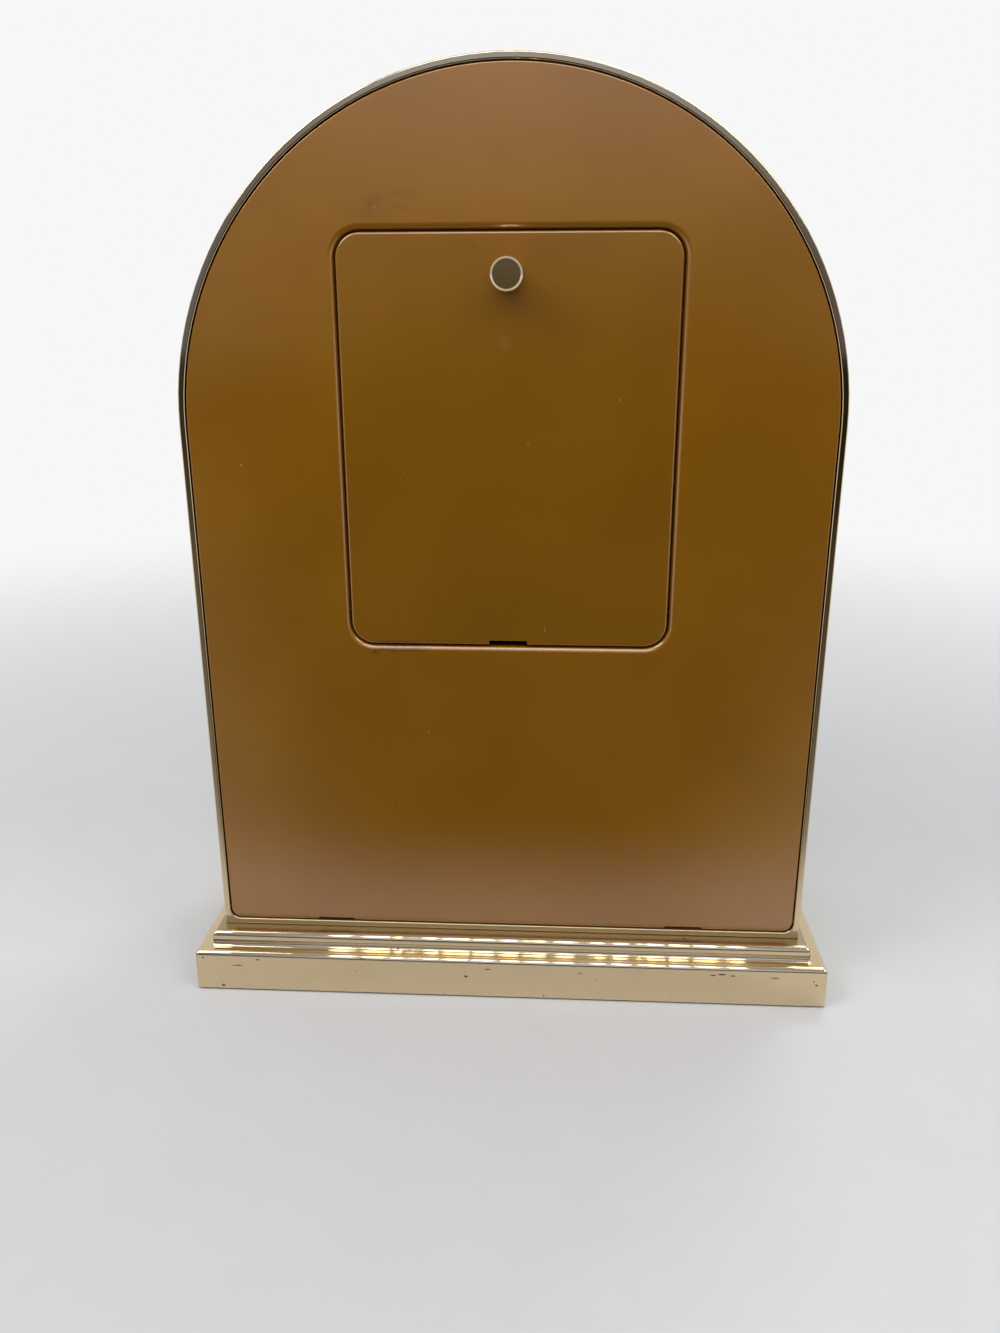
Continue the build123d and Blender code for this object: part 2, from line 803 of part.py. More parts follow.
# Chapter ring, held by feet that go through the dial plate
with BuildPart() as chapter_ring:
    with BuildSketch(upright(dial_front_y)):
        with Locations((0, arch_z)):
            Circle(chapter_outer_diameter / 2)
            Circle(chapter_inner_diameter / 2, mode=Mode.SUBTRACT)
    extrude(amount=chapter_thickness)
    with BuildSketch(upright(dial_back_y)):
        with Locations((0, arch_z)):
            with PolarLocations(chapter_foot_radius, chapter_foot_count, chapter_foot_turn):
                Circle(chapter_foot_diameter / 2)
    extrude(amount=dial_thickness)
chapter_ring.part.label = "chapter_ring"
export_step(chapter_ring.part, "parts/chapter_ring.step")

with BuildPart() as dial_centre:
    with BuildSketch(upright(dial_front_y)):
        with Locations((0, arch_z)):
            Circle(centre_disc_diameter / 2)
            Circle(bush_diameter / 2 + fixed_fit, mode=Mode.SUBTRACT)
    extrude(amount=centre_disc_thickness)
dial_centre.part.label = "dial_centre"
export_step(dial_centre.part, "parts/dial_centre.step")

# Back panel with its door opening, stop lip, snap hooks and pry notches
with BuildPart() as back_panel:
    with BuildSketch(upright(panel_back_y)):
        add(arch_face(case_wall + panel_gap, case_corner))
    extrude(amount=panel_thickness)
    panel_face = back_panel.faces().sort_by(Axis.Y)[-1]
    fillet(panel_face.outer_wire().edges(), panel_edge_round)
    with BuildSketch(upright(panel_back_y)):
        with Locations((0, door_middle_z)):
            RectangleRounded(aperture_width, aperture_height, aperture_corner)
    extrude(amount=panel_thickness, mode=Mode.SUBTRACT)
    panel_face = back_panel.faces().sort_by(Axis.Y)[-1]
    fillet(panel_face.inner_wires()[0].edges(), aperture_round)
    with BuildSketch(upright(panel_front_y)):
        with Locations((0, door_middle_z)):
            RectangleRounded(
                aperture_width + 2 * stop_lip_land,
                aperture_height + 2 * stop_lip_land,
                aperture_corner + stop_lip_land,
            )
            RectangleRounded(aperture_width, aperture_height, aperture_corner, mode=Mode.SUBTRACT)
            with Locations((0, -aperture_height / 2 - stop_lip_land)):
                Rectangle(
                    aperture_width + 2 * stop_lip_land + overrun,
                    pivot_rise + door_gap + stop_lip_land + stop_lip_rise,
                    align=(Align.CENTER, Align.MIN),
                    mode=Mode.SUBTRACT,
                )
    extrude(amount=stop_lip_gap + stop_lip_thickness)
    with BuildSketch(upright(panel_front_y - stop_lip_gap)):
        with Locations((0, door_middle_z)):
            RectangleRounded(
                aperture_width + 2 * stop_lip_land,
                aperture_height + 2 * stop_lip_land,
                aperture_corner + stop_lip_land,
            )
            RectangleRounded(
                aperture_width - 2 * stop_lip_reach,
                aperture_height - 2 * stop_lip_reach,
                aperture_corner - stop_lip_reach,
                mode=Mode.SUBTRACT,
            )
            with Locations((0, -aperture_height / 2 - stop_lip_land)):
                Rectangle(
                    aperture_width + 2 * stop_lip_land + overrun,
                    pivot_rise + door_gap + stop_lip_land + stop_lip_rise,
                    align=(Align.CENTER, Align.MIN),
                    mode=Mode.SUBTRACT,
                )
    extrude(amount=stop_lip_thickness)
    ledge_radius = case_half - case_wall - panel_ledge_width
    hook_sag = ledge_radius - math.sqrt(ledge_radius**2 - hook_width**2 / 4)
    hook_inset = case_wall + panel_ledge_width + hook_sag + fixed_fit + hook_thickness / 2
    barb_front = panel_front_y - panel_ledge_thickness - side_play
    for place in rim_places(hook_inset):
        with BuildSketch(rim_plane(place, panel_front_y)):
            Rectangle(hook_thickness, hook_width)
        extrude(amount=panel_ledge_thickness + side_play + hook_barb_length)
        with BuildSketch(rim_plane(place, barb_front)):
            Rectangle(
                hook_thickness / 2 + hook_barb, hook_width, align=(Align.MIN, Align.CENTER)
            )
        extrude(amount=hook_barb_length)
    for share in rim_bottom_shares:
        notch_x = share * (case_half - hook_inset)
        panel_foot = plinth_top + case_wall + panel_gap
        add_block(
            (notch_x - pry_notch_width / 2, panel_back_y - pry_notch_depth, panel_foot - overrun),
            (notch_x + pry_notch_width / 2, panel_back_y + overrun, panel_foot + pry_notch_height),
            Mode.SUBTRACT,
        )
    for side in (-1, 1):
        with Locations(Plane(origin=(side * aperture_width / 2, pivot_y, pivot_z), z_dir=(side, 0, 0))):
            Cylinder(
                pin_diameter / 2 + running_fit,
                pin_in_panel + pin_end_gap,
                align=(Align.CENTER, Align.CENTER, Align.MIN),
                mode=Mode.SUBTRACT,
            )
    with BuildSketch(upright(panel_front_y)):
        with Locations((0, catch_plate_z + catch_plate_height / 2)):
            with GridLocations(2 * catch_screw_side_share * catch_plate_width, 0, 2, 1):
                Circle(screw_shank / 2 + fixed_fit)
    extrude(amount=-catch_thread_depth - thread_end_gap, mode=Mode.SUBTRACT)
back_panel.part.label = "back_panel"
export_step(back_panel.part, "parts/back_panel.step")

# Spring catch: a plate on the panel and two leaves that hold the tip of the knob's stem
with BuildPart() as door_catch:
    leaf_gap = knob_tip_diameter / 2 + running_fit
    leaf_back = panel_front_y - catch_leaf_setback
    leaf_front = leaf_back - catch_leaf_depth
    add_block(
        (-catch_plate_width / 2, panel_front_y - catch_sheet, catch_plate_z),
        (catch_plate_width / 2, panel_front_y, catch_plate_z + catch_plate_height),
    )
    add_block(
        (-leaf_gap - catch_sheet, leaf_front, catch_plate_z),
        (leaf_gap + catch_sheet, panel_front_y, catch_plate_z + catch_sheet),
    )
    for side in (-1, 1):
        leaf_sides = sorted((side * leaf_gap, side * (leaf_gap + catch_sheet)))
        add_block(
            (leaf_sides[0], leaf_front, knob_z - catch_leaf_tail),
            (leaf_sides[1], leaf_back, catch_plate_z + catch_sheet),
        )
    with BuildSketch(upright(panel_front_y)):
        with Locations((0, catch_plate_z + catch_plate_height / 2)):
            with GridLocations(2 * catch_screw_side_share * catch_plate_width, 0, 2, 1):
                Circle(screw_shank / 2 + fixed_fit)
    extrude(amount=catch_sheet, mode=Mode.SUBTRACT)
door_catch.part.label = "door_catch"
export_step(door_catch.part, "parts/door_catch.step")

with BuildPart() as catch_screws:
    for side in (-1, 1):
        catch_screw_at = (
            side * catch_screw_side_share * catch_plate_width,
            panel_front_y - catch_sheet,
            catch_plate_z + catch_plate_height / 2,
        )
        add_screw(
            Plane(origin=catch_screw_at, x_dir=(1, 0, 0), z_dir=(0, 1, 0)),
            catch_sheet + catch_thread_depth,
        )
catch_screws.part.label = "catch_screws"
export_step(catch_screws.part, "parts/catch_screws.step")

# Door, turning on two pins near its foot
with BuildPart() as door_panel:
    with BuildSketch(upright(panel_back_y)):
        with Locations((0, door_middle_z)):
            RectangleRounded(door_width, door_height, door_corner)
    extrude(amount=panel_thickness)
    fillet(door_panel.faces().sort_by(Axis.Y)[-1].edges(), door_edge_round)
    add_block(
        (-door_notch_width / 2, panel_front_y - overrun, door_bottom_z - overrun),
        (door_notch_width / 2, panel_back_y + overrun, door_bottom_z + door_notch_height),
        Mode.SUBTRACT,
    )
    with BuildSketch(upright(panel_back_y)):
        with Locations((0, knob_z)):
            Circle(knob_stem_diameter / 2 + fixed_fit)
    extrude(amount=panel_thickness, mode=Mode.SUBTRACT)
    for side in (-1, 1):
        with Locations(Plane(origin=(side * door_width / 2, pivot_y, pivot_z), z_dir=(-side, 0, 0))):
            Cylinder(
                pin_diameter / 2 + fixed_fit,
                pin_in_door,
                align=(Align.CENTER, Align.CENTER, Align.MIN),
                mode=Mode.SUBTRACT,
            )
door_panel.part.label = "door_panel"
export_step(door_panel.part, "parts/door_panel.step")

with BuildPart() as hinge_pins:
    for side in (-1, 1):
        pin_start = side * (door_width / 2 - pin_in_door)
        with Locations(Plane(origin=(pin_start, pivot_y, pivot_z), z_dir=(side, 0, 0))):
            Cylinder(
                pin_diameter / 2,
                pin_in_door + door_gap + pin_in_panel,
                align=(Align.CENTER, Align.CENTER, Align.MIN),
            )
hinge_pins.part.label = "hinge_pins"
export_step(hinge_pins.part, "parts/hinge_pins.step")

# Pull knob, turned in one piece with the stem that goes through the door
with BuildPart() as door_knob:
    with BuildSketch(Plane.YZ) as knob_profile:
        with BuildLine():
            Polyline(
                (panel_front_y - knob_tip_reach, knob_z),
                (panel_back_y + knob_length, knob_z),
                (panel_back_y + knob_length, knob_z + knob_diameter / 2),
                (panel_back_y, knob_z + knob_diameter / 2),
                (panel_back_y, knob_z + knob_stem_diameter / 2),
                (panel_front_y - knob_washer_thickness - knob_nut_height, knob_z + knob_stem_diameter / 2),
                (panel_front_y - knob_washer_thickness - knob_nut_height, knob_z + knob_tip_diameter / 2),
                (panel_front_y - knob_tip_reach, knob_z + knob_tip_diameter / 2),
                close=True,
            )
        make_face()
        outer_corners = knob_profile.vertices().group_by(Axis.Y)[-1]
        chamfer(outer_corners, knob_chamfer)
        tip_corner = knob_profile.vertices().group_by(Axis.X)[0].sort_by(Axis.Y)[-1]
        fillet(tip_corner, knob_tip_round)
    revolve(axis=Axis((0, 0, knob_z), (0, 1, 0)))
door_knob.part.label = "door_knob"
export_step(door_knob.part, "parts/door_knob.step")

with BuildPart() as knob_washer:
    with BuildSketch(upright(panel_front_y)):
        with Locations((0, knob_z)):
            Circle(knob_washer_diameter / 2)
            Circle(knob_stem_diameter / 2 + fixed_fit, mode=Mode.SUBTRACT)
    extrude(amount=knob_washer_thickness)
knob_washer.part.label = "knob_washer"
export_step(knob_washer.part, "parts/knob_washer.step")

with BuildPart() as knob_nut:
    with BuildSketch(upright(panel_front_y - knob_washer_thickness)):
        with Locations((0, knob_z)):
            RegularPolygon(knob_nut_across_flats / 2, 6, major_radius=False)
            Circle(knob_stem_diameter / 2 + fixed_fit, mode=Mode.SUBTRACT)
    extrude(amount=knob_nut_height)
knob_nut.part.label = "knob_nut"
export_step(knob_nut.part, "parts/knob_nut.step")

# Movement front case: a tray with the battery bay, the posts and the pivots of the dial side
with BuildPart() as movement_front_case:
    with BuildSketch(axis_plane(hands_axis, level(front_case_depth))):
        Rectangle(movement_size, movement_size)
    extrude(amount=front_case_depth)
    bay_wall_top = -divider_drop
    add_movement_block(
        (-movement_half, 0, -movement_half), (movement_half, bay_wall_depth, bay_wall_top)
    )
    add_movement_block(
        (-movement_inner, movement_wall, bay_wall_top),
        (movement_inner, front_case_depth + overrun, movement_inner),
        Mode.SUBTRACT,
    )
    add_movement_block(
        (-movement_inner, movement_wall, bay_bottom),
        (movement_inner, bay_wall_depth + overrun, bay_top),
        Mode.SUBTRACT,
    )
    for side in (-1, 1):
        slot_x = sorted(
            (side * movement_inner, side * (movement_inner - contact_wall_gap - contact_sheet - contact_slot_gap))
        )
        add_movement_block(
            (slot_x[0], contact_front - contact_slot_gap, bay_top - overrun),
            (slot_x[1], contact_front + contact_strip + contact_slot_gap, bay_wall_top + overrun),
            Mode.SUBTRACT,
        )
    for post in case_posts:
        add_round(post, level(movement_wall), level(front_case_depth), case_post_diameter / 2)
        add_round(
            post,
            level(front_case_depth - cover_thread_depth - thread_end_gap),
            level(front_case_depth),
            screw_shank / 2 + fixed_fit,
            Mode.SUBTRACT,
        )
    for post in bridge_posts:
        add_round(post, level(movement_wall), layer_front(4), bridge_post_diameter / 2)
        add_round(
            post,
            layer_front(4) - bridge_thread_depth - thread_end_gap,
            layer_front(4),
            screw_shank / 2 + fixed_fit,
            Mode.SUBTRACT,
        )
    add_round(third_axis, level(movement_wall), level(movement_wall + front_boss_length), boss_radius)
    add_round(
        third_axis,
        level(movement_wall),
        level(movement_wall + front_boss_length),
        arbor_radius + running_fit,
        Mode.SUBTRACT,
    )
    add_round(minute_work_axis, level(movement_wall), layer_front(1) - side_play, boss_radius)
    add_round(minute_work_axis, level(movement_wall), layer_back(2) + stud_end, arbor_radius)
    setting_boss_back = layer_front(2) - side_play
    add_round(setting_axis, level(movement_wall), setting_boss_back, setting_boss_radius)
    add_round(
        setting_axis,
        level(movement_wall),
        setting_boss_back,
        setting_arbor_radius + running_fit,
        Mode.SUBTRACT,
    )
    add_round(
        hands_axis, level(-overrun), level(movement_wall), bush_diameter / 2 + fixed_fit, Mode.SUBTRACT
    )
movement_front_case.part.label = "movement_front_case"
export_step(movement_front_case.part, "parts/movement_front_case.step")

# Movement rear cover: closes the train, with the rear pivots and the pegs of the stator and the board
with BuildPart() as movement_rear_cover:
    cover_bottom = -divider_drop + rear_cover_gap
    add_movement_block(
        (-movement_half, front_case_depth, cover_bottom), (movement_half, movement_depth, movement_half)
    )
    add_movement_block(
        (-movement_inner, front_case_depth - overrun, cover_bottom + movement_wall),
        (movement_inner, cover_inner, movement_inner),
        Mode.SUBTRACT,
    )
    for post in case_posts:
        add_round(post, level(front_case_depth), level(cover_inner), case_post_diameter / 2)
        add_round(
            post,
            level(front_case_depth),
            level(movement_depth),
            screw_shank / 2 + fixed_fit,
            Mode.SUBTRACT,
        )
    for pivot, radius in (
        (hands_axis, arbor_radius),
        (third_axis, arbor_radius),
        (intermediate_axis, arbor_radius),
        (rotor_axis, rotor_arbor_radius),
    ):
        add_round(pivot, level(cover_inner - rear_boss_length), level(cover_inner), boss_radius)
        add_round(
            pivot,
            level(cover_inner - rear_boss_length),
            level(cover_inner + arbor_end_gap),
            radius + running_fit,
            Mode.SUBTRACT,
        )
    for peg in stator_pegs:
        add_round(peg, level(stator_back), level(cover_inner), post_radius)
        add_round(peg, level(stator_front - peg_end), level(stator_back), peg_radius)
    for peg in board_pegs:
        add_round(peg, level(board_back), level(cover_inner), post_radius)
        add_round(peg, level(board_front - peg_end), level(board_back), peg_radius)
    add_round(
        setting_axis,
        level(cover_inner),
        level(movement_depth),
        setting_arbor_radius + running_fit,
        Mode.SUBTRACT,
    )
movement_rear_cover.part.label = "movement_rear_cover"
export_step(movement_rear_cover.part, "parts/movement_rear_cover.step")

with BuildPart() as movement_screws:
    for post in case_posts:
        add_screw(
            axis_plane(post, level(movement_depth)),
            movement_depth - front_case_depth + cover_thread_depth,
        )
movement_screws.part.label = "movement_screws"
export_step(movement_screws.part, "parts/movement_screws.step")

# Threaded bush that clamps the movement to the dial, with its cushion, washer and nut
with BuildPart() as threaded_bush:
    bush_flange_front = level(movement_wall)
    bush_flange_back = bush_flange_front + bush_flange_thickness
    add_round(hands_axis, bush_flange_front, bush_flange_back, bush_flange_diameter / 2)
    add_round(hands_axis, bush_front_y, bush_flange_front, bush_diameter / 2)
    add_round(hands_axis, bush_front_y, bush_flange_back, hour_pipe_radius + running_fit, Mode.SUBTRACT)
threaded_bush.part.label = "threaded_bush"
export_step(threaded_bush.part, "parts/threaded_bush.step")

with BuildPart() as dial_cushion:
    add_round(hands_axis, dial_back_y, movement_front_y, cushion_diameter / 2)
    add_round(hands_axis, dial_back_y, movement_front_y, bush_diameter / 2 + fixed_fit, Mode.SUBTRACT)
dial_cushion.part.label = "dial_cushion"
export_step(dial_cushion.part, "parts/dial_cushion.step")

with BuildPart() as hand_washer:
    washer_back = dial_front_y - centre_disc_thickness
    washer_front = washer_back - hand_washer_thickness
    add_round(hands_axis, washer_front, washer_back, hand_washer_diameter / 2)
    add_round(hands_axis, washer_front, washer_back, bush_diameter / 2 + fixed_fit, Mode.SUBTRACT)
hand_washer.part.label = "hand_washer"
export_step(hand_washer.part, "parts/hand_washer.step")

with BuildPart() as hand_nut:
    with BuildSketch(axis_plane(hands_axis, washer_front)):
        RegularPolygon(hand_nut_across_flats / 2, 6, major_radius=False)
        Circle(bush_diameter / 2 + fixed_fit, mode=Mode.SUBTRACT)
    extrude(amount=hand_nut_height)
hand_nut.part.label = "hand_nut"
export_step(hand_nut.part, "parts/hand_nut.step")

# Bridge that carries the front pivots of the intermediate wheel and the rotor
with BuildPart() as train_bridge:
    bridge_left = intermediate_axis[0] - bridge_margin
    bridge_right = bridge_post_x + bridge_post_diameter / 2
    bridge_bottom = min(intermediate_axis[1] - bridge_margin, bridge_posts[0][1] - bridge_post_diameter / 2)
    bridge_top = bridge_posts[1][1] + bridge_post_diameter / 2
    bridge_middle = ((bridge_left + bridge_right) / 2, (bridge_bottom + bridge_top) / 2)
    with BuildSketch(axis_plane(bridge_middle, layer_back(4))):
        RectangleRounded(bridge_right - bridge_left, bridge_top - bridge_bottom, bridge_margin)
    extrude(amount=gear_thickness)
    add_round(
        intermediate_axis, layer_front(4), layer_back(4), arbor_radius + running_fit, Mode.SUBTRACT
    )
    add_round(
        rotor_axis, layer_front(4), layer_back(4), rotor_arbor_radius + running_fit, Mode.SUBTRACT
    )
    for post in bridge_posts:
        add_round(post, layer_front(4), layer_back(4), screw_shank / 2 + fixed_fit, Mode.SUBTRACT)
train_bridge.part.label = "train_bridge"
export_step(train_bridge.part, "parts/train_bridge.step")

with BuildPart() as bridge_screws:
    for post in bridge_posts:
        add_screw(axis_plane(post, layer_back(4)), gear_thickness + bridge_thread_depth)
bridge_screws.part.label = "bridge_screws"
export_step(bridge_screws.part, "parts/bridge_screws.step")

# Stepping motor: stator frame, coil and rotor
with BuildPart() as stator:
    add_movement_block(
        (stator_left, stator_front, stator_bottom), (stator_right, stator_back, stator_top)
    )
    add_movement_block(
        (stator_left + stator_arm_width, stator_front - overrun, stator_bar_top),
        (stator_right - stator_arm_width, stator_back + overrun, stator_top - stator_core_height),
        Mode.SUBTRACT,
    )
    for place, radius in (
        (rotor_axis, magnet_radius + stator_air_gap),
        (intermediate_axis, arbor_radius + stator_arbor_gap),
        (stator_pegs[0], peg_radius + fixed_fit),
        (stator_pegs[1], peg_radius + fixed_fit),
    ):
        add_round(place, level(stator_front), level(stator_back), radius, Mode.SUBTRACT)
stator.part.label = "stator"
export_step(stator.part, "parts/stator.step")

core_plane = Plane(
    origin=(bobbin_left, level(stator_middle), arch_z + core_height), x_dir=(0, 1, 0), z_dir=(1, 0, 0)
)
bobbin_length = bobbin_right - bobbin_left
winding_length = bobbin_length - 2 * bobbin_flange_thickness

with BuildPart() as coil_bobbin:
    with BuildSketch(core_plane):
        Circle(bobbin_radius)
    extrude(amount=bobbin_length)
    for start in (0, bobbin_length - bobbin_flange_thickness):
        with BuildSketch(core_plane.offset(start)):
            Circle(bobbin_flange_radius)
        extrude(amount=bobbin_flange_thickness)
    with BuildSketch(core_plane):
        Rectangle(stator_thickness + 2 * bobbin_slot_gap, stator_core_height + 2 * bobbin_slot_gap)
    extrude(amount=bobbin_length, mode=Mode.SUBTRACT)
coil_bobbin.part.label = "coil_bobbin"
export_step(coil_bobbin.part, "parts/coil_bobbin.step")

with BuildPart() as coil_winding:
    with BuildSketch(core_plane.offset(bobbin_flange_thickness)):
        Circle(winding_radius)
        Circle(bobbin_radius + fixed_fit, mode=Mode.SUBTRACT)
    extrude(amount=winding_length)
coil_winding.part.label = "coil_winding"
export_step(coil_winding.part, "parts/coil_winding.step")

# Circuit board with its chip and crystal
with BuildPart() as circuit_board:
    add_movement_block(
        (-board_width / 2, board_front, board_bottom),
        (board_width / 2, board_back, board_bottom + board_height),
    )
    for peg in board_pegs:
        add_round(peg, level(board_front), level(board_back), peg_radius + fixed_fit, Mode.SUBTRACT)
circuit_board.part.label = "circuit_board"
export_step(circuit_board.part, "parts/circuit_board.step")

with BuildPart() as control_chip:
    add_movement_block(
        (chip_place - chip_width / 2, board_front - chip_thickness, board_middle - chip_height / 2),
        (chip_place + chip_width / 2, board_front, board_middle + chip_height / 2),
    )
control_chip.part.label = "control_chip"
export_step(control_chip.part, "parts/control_chip.step")

with BuildPart() as quartz_crystal:
    crystal_start = (
        crystal_place,
        level(board_front) - crystal_radius - fixed_fit,
        arch_z + board_middle,
    )
    with BuildSketch(Plane(origin=crystal_start, x_dir=(0, 1, 0), z_dir=(1, 0, 0))):
        Circle(crystal_radius)
    extrude(amount=crystal_length)
quartz_crystal.part.label = "quartz_crystal"
export_step(quartz_crystal.part, "parts/quartz_crystal.step")

# Dry cell, lying along X with its nub to the right
cell_plane = Plane(
    origin=(-cell_length / 2, level(cell_level), arch_z + cell_height), x_dir=(0, 1, 0), z_dir=(1, 0, 0)
)
with BuildPart() as dry_cell:
    with BuildSketch(cell_plane):
        Circle(cell_diameter / 2)
    extrude(amount=cell_length - cell_nub_length)
    fillet(dry_cell.edges(), cell_edge_round)
    with BuildSketch(cell_plane.offset(cell_length - cell_nub_length)):
        Circle(cell_nub_diameter / 2)
    extrude(amount=cell_nub_length)
dry_cell.part.label = "dry_cell"
export_step(dry_cell.part, "parts/dry_cell.step")


def add_contact(side):
    """A bent contact strip from one end of the cell to the circuit board, side -1 or 1."""

    def strip(near, far, low, high):
        xs = sorted((side * near, side * far))
        add_movement_block((xs[0], low[0], low[1]), (xs[1], high[0], high[1]))

    outer = movement_inner - contact_wall_gap
    inner = outer - contact_sheet
    strip_back = contact_front + contact_strip
    rail_bottom = board_bottom
    rail_top = board_bottom + contact_rail_height
    plate_top = cell_height + contact_height / 2
    strip(
        inner,
        outer,
        (contact_front, cell_height - contact_height / 2),
        (contact_front + contact_depth, plate_top),
    )
    strip(inner, outer, (contact_front, plate_top - contact_sheet), (strip_back, rail_top))
    strip(inner, outer, (contact_front, rail_bottom), (board_front, rail_top))
    strip(
        board_width / 2 - contact_board_lap,
        outer,
        (board_front - contact_sheet, rail_bottom),
        (board_front, rail_top),
    )
    dimple = Plane(
        origin=(side * cell_length / 2, level(cell_level), arch_z + cell_height), z_dir=(side, 0, 0)
    )
    with Locations(dimple):
        Cylinder(
            contact_dimple_radius,
            inner - cell_length / 2,
            align=(Align.CENTER, Align.CENTER, Align.MIN),
        )


with BuildPart() as negative_contact:
    add_contact(-1)
negative_contact.part.label = "negative_contact"
export_step(negative_contact.part, "parts/negative_contact.step")

with BuildPart() as positive_contact:
    add_contact(1)
positive_contact.part.label = "positive_contact"
export_step(positive_contact.part, "parts/positive_contact.step")

# Motion work: hour wheel, cannon pinion, minute work wheel and setting knob
with BuildPart() as hour_wheel:
    add_gear(hands_axis, 1, hour_wheel_teeth, minute_pinion_module, hour_phase)
    add_round(hands_axis, bush_flange_back + side_play, layer_front(1), collar_radius)
    add_round(hands_axis, hour_pipe_front_y, layer_front(1), hour_pipe_radius)
    add_round(
        hands_axis, hour_pipe_front_y, layer_back(1), minute_pipe_radius + running_fit, Mode.SUBTRACT
    )
hour_wheel.part.label = "hour_wheel"
export_step(hour_wheel.part, "parts/hour_wheel.step")

with BuildPart() as cannon_pinion:
    add_gear(hands_axis, 2, cannon_teeth, motion_module, cannon_phase, pinion_tooth_shares)
    add_round(hands_axis, layer_back(1) + side_play, layer_front(2), clutch_hub_radius)
    add_round(hands_axis, minute_pipe_front_y, layer_front(2), minute_pipe_radius)
    add_round(hands_axis, layer_back(2), layer_back(3) + clutch_hub_end, clutch_hub_radius)
    add_round(
        hands_axis,
        minute_pipe_front_y,
        layer_back(3) + clutch_hub_end,
        arbor_radius + running_fit,
        Mode.SUBTRACT,
    )
cannon_pinion.part.label = "cannon_pinion"
export_step(cannon_pinion.part, "parts/cannon_pinion.step")

with BuildPart() as minute_work_wheel:
    add_gear(
        minute_work_axis,
        1,
        minute_pinion_teeth,
        minute_pinion_module,
        minute_pinion_phase,
        pinion_tooth_shares,
    )
    add_gear(minute_work_axis, 2, minute_wheel_teeth, motion_module, minute_wheel_phase)
    minute_neck = minute_pinion_module * (minute_pinion_teeth / 2 - tooth_dedendum_share)
    add_round(minute_work_axis, layer_back(1), layer_front(2), minute_neck)
    add_round(
        minute_work_axis, layer_front(1), layer_back(2), arbor_radius + running_fit, Mode.SUBTRACT
    )
minute_work_wheel.part.label = "minute_work_wheel"
export_step(minute_work_wheel.part, "parts/minute_work_wheel.step")

with BuildPart() as setting_knob:
    add_gear(
        setting_axis, 2, setting_pinion_teeth, motion_module, setting_phase, pinion_tooth_shares
    )
    setting_knob_front = level(movement_depth) + setting_knob_gap
    setting_knob_back = setting_knob_front + setting_knob_length
    add_round(
        setting_axis, level(movement_wall) + arbor_end_gap, setting_knob_front, setting_arbor_radius
    )
    add_round(setting_axis, setting_knob_front, setting_knob_back, setting_knob_diameter / 2)
    with BuildSketch(axis_plane(setting_axis, setting_knob_back)):
        with PolarLocations(setting_knob_diameter / 2, setting_grip_count):
            Circle(setting_grip_radius)
    extrude(amount=setting_knob_length, mode=Mode.SUBTRACT)
setting_knob.part.label = "setting_knob"
export_step(setting_knob.part, "parts/setting_knob.step")

# Going train: centre wheel on its clutch, third wheel, second wheel, intermediate wheel and rotor
arbor_back_y = level(cover_inner)

with BuildPart() as centre_wheel:
    add_gear(hands_axis, 3, centre_wheel_teeth, train_module, centre_phase)
    add_round(hands_axis, layer_back(2) + side_play, layer_front(3), collar_radius)
    add_round(
        hands_axis, layer_back(2), layer_back(3), clutch_hub_radius + running_fit, Mode.SUBTRACT
    )
centre_wheel.part.label = "centre_wheel"
export_step(centre_wheel.part, "parts/centre_wheel.step")

with BuildPart() as third_wheel:
    add_gear(
        third_axis, 3, third_pinion_teeth, train_module, third_pinion_phase, pinion_tooth_shares
    )
    add_gear(third_axis, 4, third_wheel_teeth, third_wheel_module, third_wheel_phase)
    add_round(third_axis, level(movement_wall) + arbor_end_gap, arbor_back_y, arbor_radius)
third_wheel.part.label = "third_wheel"
export_step(third_wheel.part, "parts/third_wheel.step")

with BuildPart() as second_wheel:
    add_gear(
        hands_axis,
        4,
        second_pinion_teeth,
        third_wheel_module,
        second_pinion_phase,
        pinion_tooth_shares,
    )
    add_gear(hands_axis, 5, second_wheel_teeth, train_module, second_wheel_phase)
    add_round(hands_axis, second_arbor_front_y, arbor_back_y, arbor_radius)
second_wheel.part.label = "second_wheel"
export_step(second_wheel.part, "parts/second_wheel.step")

with BuildPart() as intermediate_wheel:
    add_gear(
        intermediate_axis,
        5,
        intermediate_pinion_teeth,
        train_module,
        intermediate_pinion_phase,
        pinion_tooth_shares,
    )
    add_gear(
        intermediate_axis, 6, intermediate_wheel_teeth, train_module, intermediate_wheel_phase
    )
    add_round(intermediate_axis, layer_front(4), arbor_back_y, arbor_radius)
intermediate_wheel.part.label = "intermediate_wheel"
export_step(intermediate_wheel.part, "parts/intermediate_wheel.step")

with BuildPart() as rotor:
    add_gear(rotor_axis, 6, rotor_pinion_teeth, train_module, rotor_phase, pinion_tooth_shares)
    add_round(rotor_axis, layer_front(4), arbor_back_y, rotor_arbor_radius)
rotor.part.label = "rotor"
export_step(rotor.part, "parts/rotor.step")

with BuildPart() as rotor_magnet:
    magnet_back = magnet_front + magnet_length
    add_round(rotor_axis, level(magnet_front), level(magnet_back), magnet_radius)
    add_round(
        rotor_axis, level(magnet_front), level(magnet_back), rotor_arbor_radius + fixed_fit, Mode.SUBTRACT
    )
rotor_magnet.part.label = "rotor_magnet"
export_step(rotor_magnet.part, "parts/rotor_magnet.step")

# Hands, each pressed on its pipe
hour_turns = (shown_hour + shown_minute / 60) / 12
minute_turns = shown_minute / 60
second_turns = shown_second / 60

